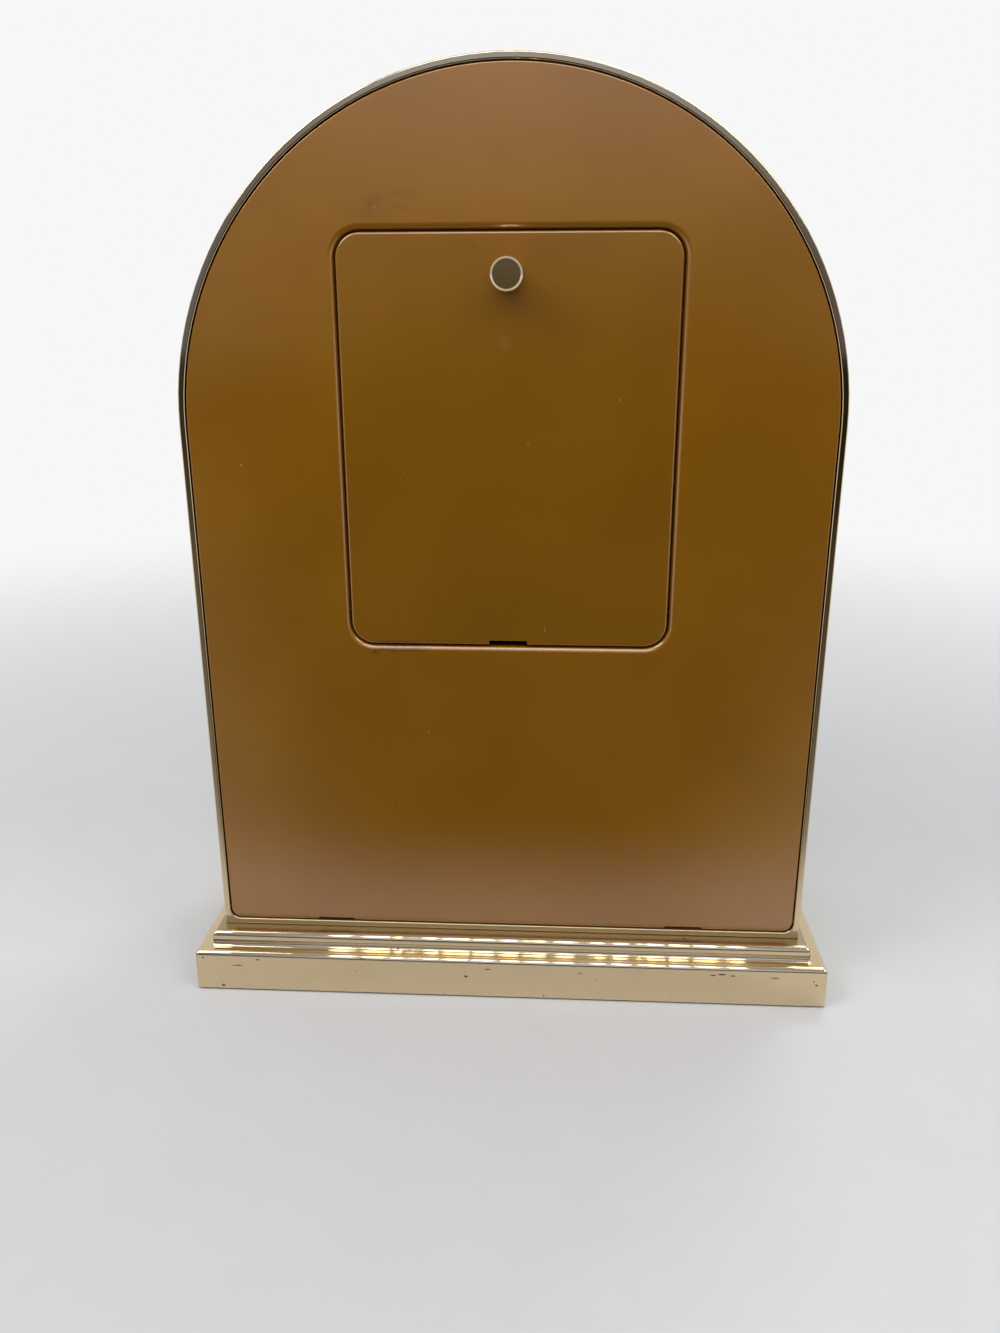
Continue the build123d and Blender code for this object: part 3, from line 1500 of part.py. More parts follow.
with BuildPart() as hour_hand:
    hour_boss = hour_pipe_radius + hand_hub_wall
    hour_hand_back = hour_pipe_front_y + hand_setback + hand_thickness
    with BuildSketch(hand_plane(hour_turns, hour_hand_back)):
        add(leaf_hand_face(hour_hand_length, hour_hand_width, hour_leaf_width, hour_boss))
    extrude(amount=hand_thickness)
    add_round(hands_axis, hour_hand_back, hour_hand_back + hand_hub_length, hour_boss)
    add_round(
        hands_axis,
        hour_pipe_front_y,
        hour_hand_back + hand_hub_length,
        hour_pipe_radius + fixed_fit,
        Mode.SUBTRACT,
    )
hour_hand.part.label = "hour_hand"
export_step(hour_hand.part, "parts/hour_hand.step")

with BuildPart() as minute_hand:
    minute_boss = minute_pipe_radius + hand_hub_wall
    minute_hand_back = minute_pipe_front_y + hand_setback + hand_thickness
    with BuildSketch(hand_plane(minute_turns, minute_hand_back)):
        add(leaf_hand_face(minute_hand_length, minute_hand_width, minute_leaf_width, minute_boss))
    extrude(amount=hand_thickness)
    add_round(hands_axis, minute_hand_back, minute_hand_back + hand_hub_length, minute_boss)
    add_round(
        hands_axis,
        minute_pipe_front_y,
        minute_hand_back + hand_hub_length,
        minute_pipe_radius + fixed_fit,
        Mode.SUBTRACT,
    )
minute_hand.part.label = "minute_hand"
export_step(minute_hand.part, "parts/minute_hand.step")

with BuildPart() as second_hand:
    second_hand_back = second_arbor_front_y + hand_setback + hand_thickness
    second_tip_half = hand_tip_share * second_hand_width / 2
    with BuildSketch(hand_plane(second_turns, second_hand_back)):
        Circle(second_boss_radius)
        with BuildLine():
            Polyline(
                (-second_hand_width / 2, -second_hand_tail),
                (second_hand_width / 2, -second_hand_tail),
                (second_tip_half, second_hand_length),
                (-second_tip_half, second_hand_length),
                close=True,
            )
        make_face()
        with Locations((0, -second_weight_share * second_hand_tail)):
            Circle(second_weight_radius)
    extrude(amount=hand_thickness)
    add_round(hands_axis, second_hand_back, second_hand_back + hand_hub_length, arbor_radius + hand_hub_wall)
    add_round(
        hands_axis,
        second_arbor_front_y,
        second_hand_back + hand_hub_length,
        arbor_radius + fixed_fit,
        Mode.SUBTRACT,
    )
second_hand.part.label = "second_hand"
export_step(second_hand.part, "parts/second_hand.step")
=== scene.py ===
import json
import math

import bpy
from mathutils import Matrix, Vector


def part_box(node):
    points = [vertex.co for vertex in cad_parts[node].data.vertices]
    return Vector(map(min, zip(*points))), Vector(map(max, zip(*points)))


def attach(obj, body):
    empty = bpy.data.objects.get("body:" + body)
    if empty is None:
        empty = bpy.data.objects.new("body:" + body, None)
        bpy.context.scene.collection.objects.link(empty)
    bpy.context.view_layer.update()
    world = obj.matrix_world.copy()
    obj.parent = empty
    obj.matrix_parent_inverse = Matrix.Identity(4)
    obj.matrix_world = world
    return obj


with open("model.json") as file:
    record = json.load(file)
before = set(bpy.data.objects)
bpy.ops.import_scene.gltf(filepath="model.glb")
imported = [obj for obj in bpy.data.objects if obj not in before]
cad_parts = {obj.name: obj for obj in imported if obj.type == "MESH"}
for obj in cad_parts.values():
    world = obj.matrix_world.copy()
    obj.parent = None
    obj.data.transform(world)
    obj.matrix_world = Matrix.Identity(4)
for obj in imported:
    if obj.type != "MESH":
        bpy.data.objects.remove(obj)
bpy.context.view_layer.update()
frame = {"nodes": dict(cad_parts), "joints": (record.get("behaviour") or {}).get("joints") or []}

# The arched shelf clock, seen from behind. Lengths are in metres, +Z is up, the dial faces -Y and the back
# panel +Y.
mm = 0.001
full_turn = 2 * math.pi

# Camera, fitted to the photograph
photo_width, photo_height = 1000, 1333
focal_pixels = 1057.57
sensor_size = 36.0
camera_place = Vector((-13.08, 302.62, 189.25)) * mm
camera_pitch, camera_yaw, camera_roll = 0.31668, 0.05578, -0.00254
clip_near, clip_far = 0.005, 50.0

# Floor, and how far from the clock it fades into the background
floor_size = 12.0
floor_dark, floor_pale = (0.545, 0.549, 0.556), (0.575, 0.577, 0.582)
floor_rough = 0.9
background_level = 0.93
floor_fade_start, floor_fade_end = 0.16, 0.75

# Lamps: a row over the clock's back, a broad wing and a narrow lamp at each side, and one for the dial
row_place, row_aim = Vector((0.0, 0.42, 0.66)), Vector((0.0, 0.03, 0.10))
row_count, row_step = 15, 0.0275
row_lamp_size, row_radiance = (0.021, 0.45), 3.8
wing_place, wing_aim = Vector((0.52, 0.42, 0.72)), Vector((0.0, 0.03, 0.13))
wing_size, wing_radiances = (0.40, 0.45), (6.2, 4.0)
side_place, side_aim = Vector((0.33, 0.10, 0.68)), Vector((0.0, 0.0, 0.12))
side_lamp_size, side_radiance = (0.06, 0.22), 9.0
dial_lamp_place, dial_lamp_aim = Vector((-0.30, -0.55, 0.95)), Vector((0.0, 0.0, 0.12))
dial_lamp_size, dial_lamp_radiance = (0.40, 0.40), 6.0

# Light tent round the clock, with its mouth behind the camera, where a room shows in the polish
tent_level, dial_side_level = 0.40, 0.75
room_colour = (0.70, 0.82, 1.16)
aside_colour = (0.16, 0.17, 0.22)
mouth_colour = (0.10, 0.075, 0.040)

# Edges of the mouth and the room, as parts of a direction: y at the mouth, z over and under the room, and x
# beside it
mouth_side, mouth_middle = 0.45, 0.80
room_top, room_full = 0.72, 0.58
mouth_eye, room_foot = 0.0, 0.40
mouth_near, mouth_far = 0.14, 0.34

# The floor before the mouth, dark in reflections: y where that starts and is full, and its half width as a
# share of y where it is full and where it ends
mouth_floor_colour = (0.035, 0.026, 0.015)
mouth_floor_start, mouth_floor_end = 0.047, 0.135
mouth_floor_near, mouth_floor_far = 0.28, 1.7

# Places read from the frame
hands_at = Vector(next(j for j in frame["joints"] if j["name"] == "minute_turn")["pos_m"])
ring_low, ring_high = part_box("chapter_ring")
disc_low, disc_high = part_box("dial_centre")
door_low, door_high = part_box("door_panel")
cell_low, cell_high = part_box("dry_cell")
panel_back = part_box("back_panel")[1].y
plinth_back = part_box("base_plinth")[1].y
door_middle = (door_low + door_high) / 2
ring_radius = (ring_high.x - ring_low.x) / 2
disc_radius = (disc_high.x - disc_low.x) / 2
ring_front = ring_low.y
dial_thickness = 1.0 * mm
plate_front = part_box("dial_plate")[1].y - dial_thickness

# Dial trim
ink_height = 0.05 * mm
ink_sink = 0.02 * mm
track_inner, track_outer = ring_radius - 3.6 * mm, ring_radius - 1.5 * mm
track_line = 0.25 * mm
minute_mark, hour_mark = 0.32 * mm, 0.95 * mm
numeral_height = 11.0 * mm
numeral_radius = ring_radius - 10.9 * mm
numeral_thick, numeral_thin, numeral_serif = 1.35 * mm, 0.42 * mm, 0.34 * mm
numeral_space = 0.75 * mm
serif_overhang = 2.4
inner_line_radius = ring_radius - 18.2 * mm
outer_bead_radius, inner_bead_radius = ring_radius + 1.0 * mm, disc_radius + 1.0 * mm
bead_size = 0.95 * mm
trellis_half = 7.0 * mm
trellis_columns, trellis_rows = 9, 4
trellis_foot = 36.0 * mm
trellis_bar_width, trellis_bar_height, trellis_bar_lap = 0.9 * mm, 0.55 * mm, 0.10 * mm
trellis_frame_width, trellis_frame_height = 2.0 * mm, 1.1 * mm
trellis_ground_height = 0.15 * mm
stud_radius, stud_height = 1.15 * mm, 1.0 * mm
# Half width, foot and wire radius of the outer and the inner border
border_sizes = ((72.0 * mm, 30.0 * mm, 0.55 * mm), (69.4 * mm, 32.6 * mm, 0.32 * mm))
border_corner = 4.0 * mm

# How finely round shapes are divided, and the angle up to which edges are shaded smooth
ring_segments, bead_segments = 192, 20
stud_segments, stud_rings = 16, 8
border_segments, border_corner_steps, border_arch_steps = 12, 8, 64
bar_bevel_segments, frame_bevel_segments = 2, 3
smooth_angle = math.radians(35)


class Wire:
    """A value in a finish: sums, products and powers of wires become Math nodes."""

    def __init__(self, finish, socket):
        self.finish = finish
        self.socket = socket

    def maths(self, operation, *values):
        return self.finish.node("ShaderNodeMath", {"operation": operation}, dict(enumerate(values)))

    def __add__(self, other):
        return self.maths("ADD", self, other)

    def __sub__(self, other):
        return self.maths("SUBTRACT", self, other)

    def __rsub__(self, other):
        return self.maths("SUBTRACT", other, self)

    def __mul__(self, other):
        return self.maths("MULTIPLY", self, other)

    def __truediv__(self, other):
        return self.maths("DIVIDE", self, other)

    def __pow__(self, other):
        return self.maths("POWER", self, other)

    def __lt__(self, other):
        return self.maths("LESS_THAN", self, other)

    def __abs__(self):
        return self.maths("ABSOLUTE", self)

    __radd__ = __add__
    __rmul__ = __mul__

    def most(self, other):
        return self.maths("MAXIMUM", self, other)


class Finish:
    """One material, made node by node."""

    def __init__(self, name, owner=None):
        owner = owner or bpy.data.materials.new(name)
        owner.use_nodes = True
        self.owner = owner
        self.tree = owner.node_tree
        self.tree.nodes.clear()

    def node(self, kind, settings=None, sockets=None, out=0):
        """Adds a node: its settings first, then its sockets' values or links. Returns one of its outputs."""
        made = self.tree.nodes.new(kind)
        for name, value in (settings or {}).items():
            setattr(made, name, value)
        for name, value in (sockets or {}).items():
            if isinstance(value, Wire):
                self.tree.links.new(value.socket, made.inputs[name])
            else:
                made.inputs[name].default_value = value
        return Wire(self, made.outputs[out]) if made.outputs else None

    def place(self, centre=(0, 0, 0), stretch=(1, 1, 1), turn=(0, 0, 0)):
        """Object coordinates from a centre, turned and stretched."""
        here = self.node("ShaderNodeTexCoord", out="Object")
        shift = self.node("ShaderNodeVectorMath", {"operation": "SUBTRACT"}, {0: here, 1: tuple(centre)})
        return self.node("ShaderNodeMapping", None, {"Vector": shift, "Rotation": turn, "Scale": stretch})

    def axes(self, where, letters):
        """The named coordinates of a place, one wire each."""
        return [self.node("ShaderNodeSeparateXYZ", None, {0: where}, out=letter) for letter in letters]

    def noise(self, scale, detail=2.0, rough=0.5, stretch=(1, 1, 1), centre=(0, 0, 0)):
        where = self.place(centre, stretch)
        return self.node(
            "ShaderNodeTexNoise",
            None,
            {"Vector": where, "Scale": scale, "Detail": detail, "Roughness": rough},
        )

    def noise_along(self, distance, scale, detail):
        """Noise that changes only with one value."""
        return self.node(
            "ShaderNodeTexNoise",
            {"noise_dimensions": "1D"},
            {"W": distance, "Scale": scale, "Detail": detail},
        )

    def between(self, value, low, high):
        """A smooth step from 0 at low to 1 at high."""
        return self.node(
            "ShaderNodeMapRange",
            {"interpolation_type": "SMOOTHSTEP"},
            {"Value": value, "From Min": low, "From Max": high},
        )

    def specks(self, scale, size, share, stretch=(1, 1, 1), centre=(0, 0, 0)):
        """Sparse round specks: one in a share of the cells of a scatter, with a size in cells."""
        where = self.place(centre, stretch)
        far = self.node("ShaderNodeTexVoronoi", None, {"Vector": where, "Scale": scale})
        tint = self.node("ShaderNodeTexVoronoi", None, {"Vector": where, "Scale": scale}, out="Color")
        pick = self.node("ShaderNodeSeparateColor", None, {0: tint})
        keen = self.node("ShaderNodeSeparateColor", None, {0: tint}, out="Green")
        return self.between(far / (keen * size + size * speck_least), 1.0, speck_core) * (pick < share)

    def length(self, where):
        """How far a place is from its centre."""
        return self.node("ShaderNodeVectorMath", {"operation": "LENGTH"}, {0: where}, out="Value")

    def spot(self, centre, radius, soft, stretch):
        """One round mark that fades over its outer part."""
        return self.between(self.length(self.place(centre, stretch)), radius, radius * (1 - soft))

    def mix(self, share, first, second):
        """The first colour at 0 and the second at 1."""
        return self.node(
            "ShaderNodeMix",
            {"data_type": "RGBA"},
            {0: share, 6: colour_of(first), 7: colour_of(second)},
            out=2,
        )

    def bump(self, height, distance):
        return self.node("ShaderNodeBump", None, {"Height": height, "Distance": distance, "Strength": 1.0})

    def surface(self, **sockets):
        """Ends the finish in a Principled shader; a socket's name is written with underscores."""
        named = {name.replace("_", " "): colour_of(value) for name, value in sockets.items()}
        return self.show(self.node("ShaderNodeBsdfPrincipled", None, named))

    def show(self, shader):
        """Ends the finish in a shader and returns what it was made for."""
        self.node("ShaderNodeOutputMaterial", None, {"Surface": shader})
        return self.owner


def colour_of(value):
    """A colour of three numbers gets its fourth; anything else stays as it is."""
    return (*value, 1.0) if isinstance(value, tuple) and len(value) == 3 else value


# Finishes

speck_least, speck_core = 0.4, 0.55  # a speck's least size and its solid part, as shares

brass_colour = (0.73, 0.585, 0.37)
brass_deep = (0.52, 0.38, 0.20)
brass_spot = (0.045, 0.030, 0.016)
# Darker brass, painted as shade on the plinth's top and on the foot of the case
brass_top_shade = (0.42, 0.33, 0.20)
brass_foot_shade = (0.62, 0.49, 0.29)


def polished_brass(name, wear=1.0, wave=0.05, rough=0.06, hazy=0.05, shaded_band=None, marks=()):
    """Gold-plated brass: hazy patches, hairlines, dark pits and a wavy polish.

    The shaded band is two heights between which the brass is darkened with painted shade and turns dull,
    with the shade colour and what it adds to the roughness; marks are flecks where the photograph shows them.
    """
    f = Finish(name)
    haze = f.between(f.noise(22, 4, 0.6), 0.38, 0.72)
    cloud = f.noise(70, 3, 0.55, centre=(0.3, 0.1, 0.2))
    hairline = f.between(f.noise(60, 2, stretch=(1, 40, 60)), 0.66, 0.72)
    crossing = f.between(f.noise(55, 2, stretch=(60, 45, 1.2), centre=(0.4, 0, 0)), 0.68, 0.73)
    patch = f.between(f.noise(35, 1, centre=(0, 0.5, 0)), 0.5, 0.62)
    scratch = (hairline + crossing * 0.5) * patch
    pits = f.specks(420, 0.16, 0.05 * wear, stretch=(0.6, 1, 1)) * f.between(f.noise(30, 2), 0.45, 0.6)
    crumbled = f.between(f.noise(2200, 3, 0.6), 0.30, 0.50)
    for centre, radius, stretch in marks:
        pits = pits.most(f.spot(centre, radius, 0.5, (stretch, 1, 1)) * crumbled)
    tarnish = f.between(cloud, 0.55, 0.8)
    colour = f.mix(tarnish * 0.22, brass_colour, brass_deep)
    gloss = rough + haze * hazy + scratch * 0.16 + pits * 0.4
    # Painted shade: between the two heights the brass colour is darkened, and its roughness is raised
    if shaded_band:
        start, end, shade_colour, dull_rough = shaded_band
        height, = f.axes(f.place(), "Z")
        dull = f.between(height, start, end)
        colour = f.mix(dull, colour, shade_colour)
        gloss = gloss + dull * dull_rough
    colour = f.mix(pits, colour, brass_spot)
    wavy = f.noise(105, 1, 0.4, stretch=(1, 0.35, 0.35))
    peel = f.noise(900, 2)
    relief = wavy + peel * 0.012 - scratch * 0.004 - pits * 0.06
    return f.surface(
        Base_Color=colour,
        Metallic=1.0 - pits * 0.6,
        Roughness=gloss,
        Normal=f.bump(relief, wave * mm),
    )


paint_colour = (0.315, 0.124, 0.0010)
paint_light = (0.400, 0.171, 0.004)
paint_dark = (0.090, 0.034, 0.004)
paint_pale = (0.46, 0.33, 0.17)
door_corner = 6.1 * mm
# Band along the door's seam, darkened with painted shade and given a thinner coat: its middle off the door's
# edge and its reach
seam_middle, seam_reach = 0.30 * mm, 1.0 * mm


def bronze_paint(name, marks, shade=1.0):
    """Satin golden-bronze metallic paint; marks are pale and dark spots where the photograph shows them."""
    f = Finish(name)
    mottle = f.noise(26, 3, 0.55)
    flake = f.noise(5200, 1, 0.5)
    drift = f.noise(9, 2, centre=(0.2, 0, 0.7))
    rub = f.between(f.noise(140, 4, 0.62, stretch=(1, 1, 0.45)), 0.60, 0.82)
    dust = f.specks(150, 0.045, 0.05)
    grit = f.specks(170, 0.040, 0.035, centre=(0.31, 0.2, 0.11))
    deep, light = (tuple(part * shade for part in paint) for paint in (paint_colour, paint_light))
    colour = f.mix(f.between(mottle + (flake - 0.5) * 0.35, 0.25, 0.85) * 0.6 + drift * 0.15, deep, light)
    colour = f.mix(rub * 0.10, colour, paint_dark)
    pale, dark = dust * 0.55, grit * 0.7
    crumbled = f.between(f.noise(1500, 4, 0.7), 0.25, 0.80)
    for centre, radius, strength, stretch in marks:
        mark = f.spot(centre, radius, 0.6, stretch) * abs(strength)
        if strength > 0:
            pale = pale.most(mark)
        else:
            dark = dark.most(mark * crumbled)
    colour = f.mix(pale, colour, paint_pale)
    colour = f.mix(dark, colour, paint_dark)
    relief = f.noise(1500, 2, 0.5) * 0.6 + f.noise(190, 2) * 1.2 - dark * 1.6 + dust * 2.0
    # Painted shade along the door's seam: a band round the door's edge is darkened, and its coat is thinner
    # there
    x, z = f.axes(f.place(door_middle), "XZ")
    beyond_x = (abs(x) - (door_high.x - door_middle.x - door_corner)).most(0.0)
    beyond_z = (abs(z) - (door_high.z - door_middle.z - door_corner)).most(0.0)
    seam = (beyond_x * beyond_x + beyond_z * beyond_z) ** 0.5 - door_corner
    seam_shade_thin_coat = f.between(abs(seam - seam_middle), seam_reach, seam_reach / 4)
    colour = f.mix(seam_shade_thin_coat * 0.25, colour, paint_dark)
    return f.surface(
        Base_Color=colour,
        Metallic=0.60,
        Roughness=0.48 + (mottle - 0.5) * 0.06 + rub * 0.05 + (flake - 0.5) * 0.05,
        Specular_IOR_Level=0.0,
        Coat_Weight=1.0 - seam_shade_thin_coat * 0.35,
        Coat_Roughness=0.15,
        Coat_IOR=2.0,
        Normal=f.bump(relief, 0.010 * mm),
    )


def bare_steel(name, colour=(0.58, 0.58, 0.56), rough=0.28):
    """Zinc-plated or nickelled steel: soft bright patches and turned or rolled lines."""
    f = Finish(name)
    bloom = f.noise(240, 3, 0.6)
    lines = f.noise(900, 2, stretch=(1, 12, 1))
    dull = tuple(part * 0.72 for part in colour)
    return f.surface(
        Base_Color=f.mix(f.between(bloom, 0.35, 0.75), colour, dull),
        Metallic=1.0,
        Roughness=rough + (bloom - 0.5) * 0.12 + (lines - 0.5) * 0.10,
        Normal=f.bump(lines, 0.004 * mm),
    )


def powder_black(name):
    """Black powder coat with its pebbled skin and a few rubbed places."""
    f = Finish(name)
    pebble = f.noise(2600, 2, 0.5)
    rubbed = f.between(f.noise(38, 4, 0.6), 0.60, 0.78)
    return f.surface(
        Base_Color=f.mix(rubbed, (0.012, 0.012, 0.013), (0.040, 0.040, 0.042)),
        Roughness=0.55 - rubbed * 0.12 + (pebble - 0.5) * 0.1,
        Normal=f.bump(pebble, 0.05 * mm),
    )


def felt(name):
    """Dark green felt: matted fibres with paler fluff."""
    f = Finish(name)
    matted = f.noise(1400, 5, 0.7)
    fluff = f.between(f.noise(3600, 3, 0.6, stretch=(1, 0.4, 1)), 0.52, 0.7)
    return f.surface(
        Base_Color=f.mix(fluff * 0.6 + matted * 0.2, (0.012, 0.028, 0.017), (0.050, 0.085, 0.056)),
        Roughness=0.95,
        Sheen_Weight=0.35,
        Sheen_Roughness=0.5,
        Normal=f.bump(matted + fluff * 0.5, 0.12 * mm),
    )


def clear_glass(name):
    """Thin window glass with faint wiped smears; lamps reach the dial through it."""
    f = Finish(name)
    smear = f.between(f.noise(28, 4, 0.6, stretch=(1, 1, 2.2)), 0.52, 0.80)
    glass = f.node(
        "ShaderNodeBsdfPrincipled",
        None,
        {
            "Base Color": (0.985, 0.992, 0.988, 1.0),
            "Roughness": smear * 0.035,
            "IOR": 1.5,
            "Transmission Weight": 1.0,
        },
    )
    clear = f.node("ShaderNodeBsdfTransparent", None, {"Color": (0.96, 0.97, 0.965, 1.0)})
    lamp = f.node("ShaderNodeLightPath", out="Is Shadow Ray")
    bounce = f.node("ShaderNodeLightPath", out="Is Diffuse Ray")
    return f.show(f.node("ShaderNodeMixShader", None, {0: lamp.most(bounce), 1: glass, 2: clear}))


def black_rubber(name):
    """Black rubber with a fine grain and a pale bloom in places."""
    f = Finish(name)
    grain = f.noise(1900, 3, 0.6)
    bloom = f.between(f.noise(60, 3), 0.5, 0.8)
    return f.surface(
        Base_Color=f.mix(bloom, (0.016, 0.016, 0.017), (0.045, 0.044, 0.043)),
        Roughness=0.62 + (grain - 0.5) * 0.14,
        Normal=f.bump(grain, 0.03 * mm),
    )


dial_colour = (0.80, 0.60, 0.29)
dial_shade = (0.58, 0.40, 0.16)


def brushed_gold(name):
    """Dial plate: gold lacquer over metal brushed from top to foot."""
    f = Finish(name)
    strokes = f.noise(420, 3, 0.6, stretch=(8, 8, 0.12))
    broad = f.noise(30, 2, stretch=(1, 1, 0.4))
    return f.surface(
        Base_Color=f.mix(f.between(strokes, 0.3, 0.7) * 0.45 + broad * 0.2, dial_colour, dial_shade),
        Metallic=1.0,
        Roughness=0.27 + (strokes - 0.5) * 0.16,
        Normal=f.bump(strokes, 0.006 * mm),
        Coat_Weight=0.25,
        Coat_Roughness=0.12,
    )


def sunray_gold(name):
    """Dial centre: fine brushing that fans out from the hands' axis."""
    f = Finish(name)
    here = f.place(hands_at, turn=(math.pi / 2, 0, 0))
    fan = f.node("ShaderNodeTexGradient", {"gradient_type": "RADIAL"}, {"Vector": here})
    rays = f.noise_along(fan, 260, 4)
    broad = f.noise_along(fan, 13, 2)
    return f.surface(
        Base_Color=f.mix(f.between(rays * 0.5 + broad * 0.5, 0.36, 0.64), dial_colour, dial_shade),
        Metallic=1.0,
        Roughness=0.24 + (rays - 0.5) * 0.14 + (broad - 0.5) * 0.16,
        Normal=f.bump(rays, 0.008 * mm),
        Coat_Weight=0.25,
        Coat_Roughness=0.12,
    )


def stippled_gold(name):
    """Ground behind the trellis: matted with a fine punch and darkened with age."""
    f = Finish(name)
    punched = f.node("ShaderNodeTexVoronoi", None, {"Vector": f.place(), "Scale": 1150})
    age = f.noise(45, 3, 0.6)
    colour = f.mix(f.between(age, 0.3, 0.8), (0.34, 0.21, 0.075), (0.20, 0.115, 0.040))
    return f.surface(
        Base_Color=colour,
        Metallic=0.9,
        Roughness=0.46 + (age - 0.5) * 0.1,
        Normal=f.bump(punched, 0.22 * mm),
    )


def ivory_enamel(name):
    """Chapter ring: fired ivory enamel with a faint warm drift and pin specks."""
    f = Finish(name)
    drift = f.noise(40, 3, 0.55)
    pin = f.specks(260, 0.05, 0.04)
    colour = f.mix(f.between(drift, 0.3, 0.75), (0.80, 0.755, 0.645), (0.74, 0.675, 0.535))
    return f.surface(
        Base_Color=f.mix(pin * 0.6, colour, (0.30, 0.23, 0.14)),
        Roughness=0.22 + (drift - 0.5) * 0.08,
        Coat_Weight=0.5,
        Coat_Roughness=0.08,
        Normal=f.bump(f.noise(320, 2), 0.012 * mm),
    )


def gloss_black(name):
    """Stoved black enamel of the hands and the printed numerals."""
    f = Finish(name)
    dust = f.specks(700, 0.10, 0.06)
    flow = f.noise(600, 2)
    return f.surface(
        Base_Color=f.mix(dust * 0.5, (0.010, 0.010, 0.011), (0.06, 0.058, 0.055)),
        Roughness=0.16 + (flow - 0.5) * 0.10 + dust * 0.2,
        Normal=f.bump(flow, 0.008 * mm),
    )


def moulded_plastic(name, colour, light, rough=0.42):
    """Injection-moulded plastic with a spark-eroded skin and faint flow marks."""
    f = Finish(name)
    skin = f.noise(1700, 2, 0.5)
    flow = f.noise(55, 3, 0.55, stretch=(1, 1, 0.5))
    return f.surface(
        Base_Color=f.mix(f.between(flow, 0.3, 0.75), colour, light),
        Roughness=rough + (skin - 0.5) * 0.12 + (flow - 0.5) * 0.08,
        Normal=f.bump(skin, 0.03 * mm),
    )


def turned_brass(name):
    """Brass from the lathe: fine rings about the hands' axis."""
    f = Finish(name)
    x, z = f.axes(f.place(hands_at), "XZ")
    radius = (x * x + z * z) ** 0.5
    rings = f.noise_along(radius, 5200, 2)
    return f.surface(
        Base_Color=f.mix(f.between(rings, 0.35, 0.7), (0.78, 0.57, 0.25), (0.60, 0.41, 0.15)),
        Metallic=1.0,
        Roughness=0.22 + (rings - 0.5) * 0.14,
        Normal=f.bump(rings, 0.006 * mm),
    )


def wound_copper(name):
    """Lacquered copper wire, wound side by side along the bobbin."""
    f = Finish(name)
    turns = f.node(
        "ShaderNodeTexWave",
        {"bands_direction": "X", "wave_profile": "SIN"},
        {"Vector": f.place(), "Scale": 2400},
    )
    # Painted shade and highlight: the copper is dark in the grooves between the wires and bright on their
    # crests
    return f.surface(
        Base_Color=f.mix(turns, (0.20, 0.060, 0.018), (0.62, 0.24, 0.085)),
        Metallic=0.9,
        Roughness=0.26 + (1 - turns) * 0.2,
        Normal=f.bump(turns, 0.05 * mm),
    )


def circuit_green(name):
    """Solder-mask green laminate with paler copper runs under it."""
    f = Finish(name)
    runs = f.node(
        "ShaderNodeTexBrick",
        None,
        {"Vector": f.place(turn=(math.pi / 2, 0, 0)), "Scale": 320, "Mortar Size": 0.045},
        out="Fac",
    )
    weave = f.noise(2300, 1, stretch=(1, 1, 3))
    return f.surface(
        Base_Color=f.mix(runs, (0.010, 0.085, 0.032), (0.042, 0.190, 0.070)),
        Roughness=0.30 + (weave - 0.5) * 0.12,
        Coat_Weight=0.3,
        Normal=f.bump(runs + weave * 0.2, 0.03 * mm),
    )


def cell_jacket(name):
    """Plain dry cell: a copper-coloured end, a graphite jacket and a bright nub."""
    f = Finish(name)
    x, = f.axes(f.place(), "X")
    length = cell_high.x - cell_low.x
    along = (x - cell_low.x) / length
    band = f.between(along, 0.655, 0.66)
    line = f.between(abs(along - 0.645), 0.006, 0.004)
    bright = f.between(along, 0.975, 0.98).most(f.between(along, 0.006, 0.004))
    wrap = f.noise(80, 3, 0.6, stretch=(0.4, 1, 1))
    colour = f.mix(band, (0.018, 0.018, 0.020), (0.60, 0.27, 0.095))
    colour = f.mix(line, colour, (0.70, 0.66, 0.58))
    colour = f.mix(bright, colour, (0.66, 0.66, 0.64))
    return f.surface(
        Base_Color=f.mix(f.between(wrap, 0.5, 0.8) * 0.25, colour, (0.05, 0.045, 0.04)),
        Metallic=0.35 + band * 0.5,
        Roughness=0.30 + (wrap - 0.5) * 0.12,
        Coat_Weight=0.4,
        Coat_Roughness=0.1,
        Normal=f.bump(wrap, 0.05 * mm),
    )


# Marks on the paint, where the photograph shows them

def paint_marks(rows):
    """Marks on the back, from x, z and radius in millimetres, strength (dark below zero) and stretch."""
    return tuple(
        ((x * mm, panel_back, z * mm), radius * mm, strength, stretch)
        for x, z, radius, strength, stretch in rows
    )


door_marks = paint_marks((
    (0.8, 184.0, 2.2, 0.10, (1, 1, 1)),
    (8.3, 206.3, 0.45, -0.8, (1, 1, 1)),
    (27.2, 151.9, 0.35, 0.7, (1, 1, 1)),
    (-5.1, 158.9, 0.35, 0.7, (1, 1, 1)),
    (-28.1, 170.1, 0.6, 0.6, (2.2, 1, 1)),
    (-9.9, 109.9, 1.0, 0.45, (2.6, 1, 1)),
    (30.0, 105.6, 9.0, -0.9, (1, 1, 10)),
))
panel_marks = paint_marks((
    (34.7, 214.0, 2.0, -0.30, (1, 1, 1.3)),
    (33.0, 215.7, 2.2, -0.42, (1, 1, 1)),
    (31.4, 217.2, 1.6, -0.30, (1, 1, 1)),
    (26.8, 218.2, 2.2, -0.26, (1, 1, 1.6)),
    (23.0, 218.0, 3.0, -0.22, (1, 1, 2.2)),
    (25.6, 215.1, 2.4, -0.24, (1, 1, 1.5)),
    (17.0, 219.4, 1.2, -0.20, (1, 1, 1)),
    (32.3, 215.1, 0.7, 0.30, (1, 1, 1)),
    (69.7, 153.5, 0.42, 0.9, (1, 1, 1)),
    (22.2, 79.7, 0.9, 0.5, (2.4, 1, 1)),
    (32.2, 57.0, 0.45, -0.9, (1, 1, 1)),
    (29.5, 104.0, 11.0, -1.0, (1, 1, 9)),
    (36.2, 103.2, 1.4, -1.0, (1, 1, 1)),
))

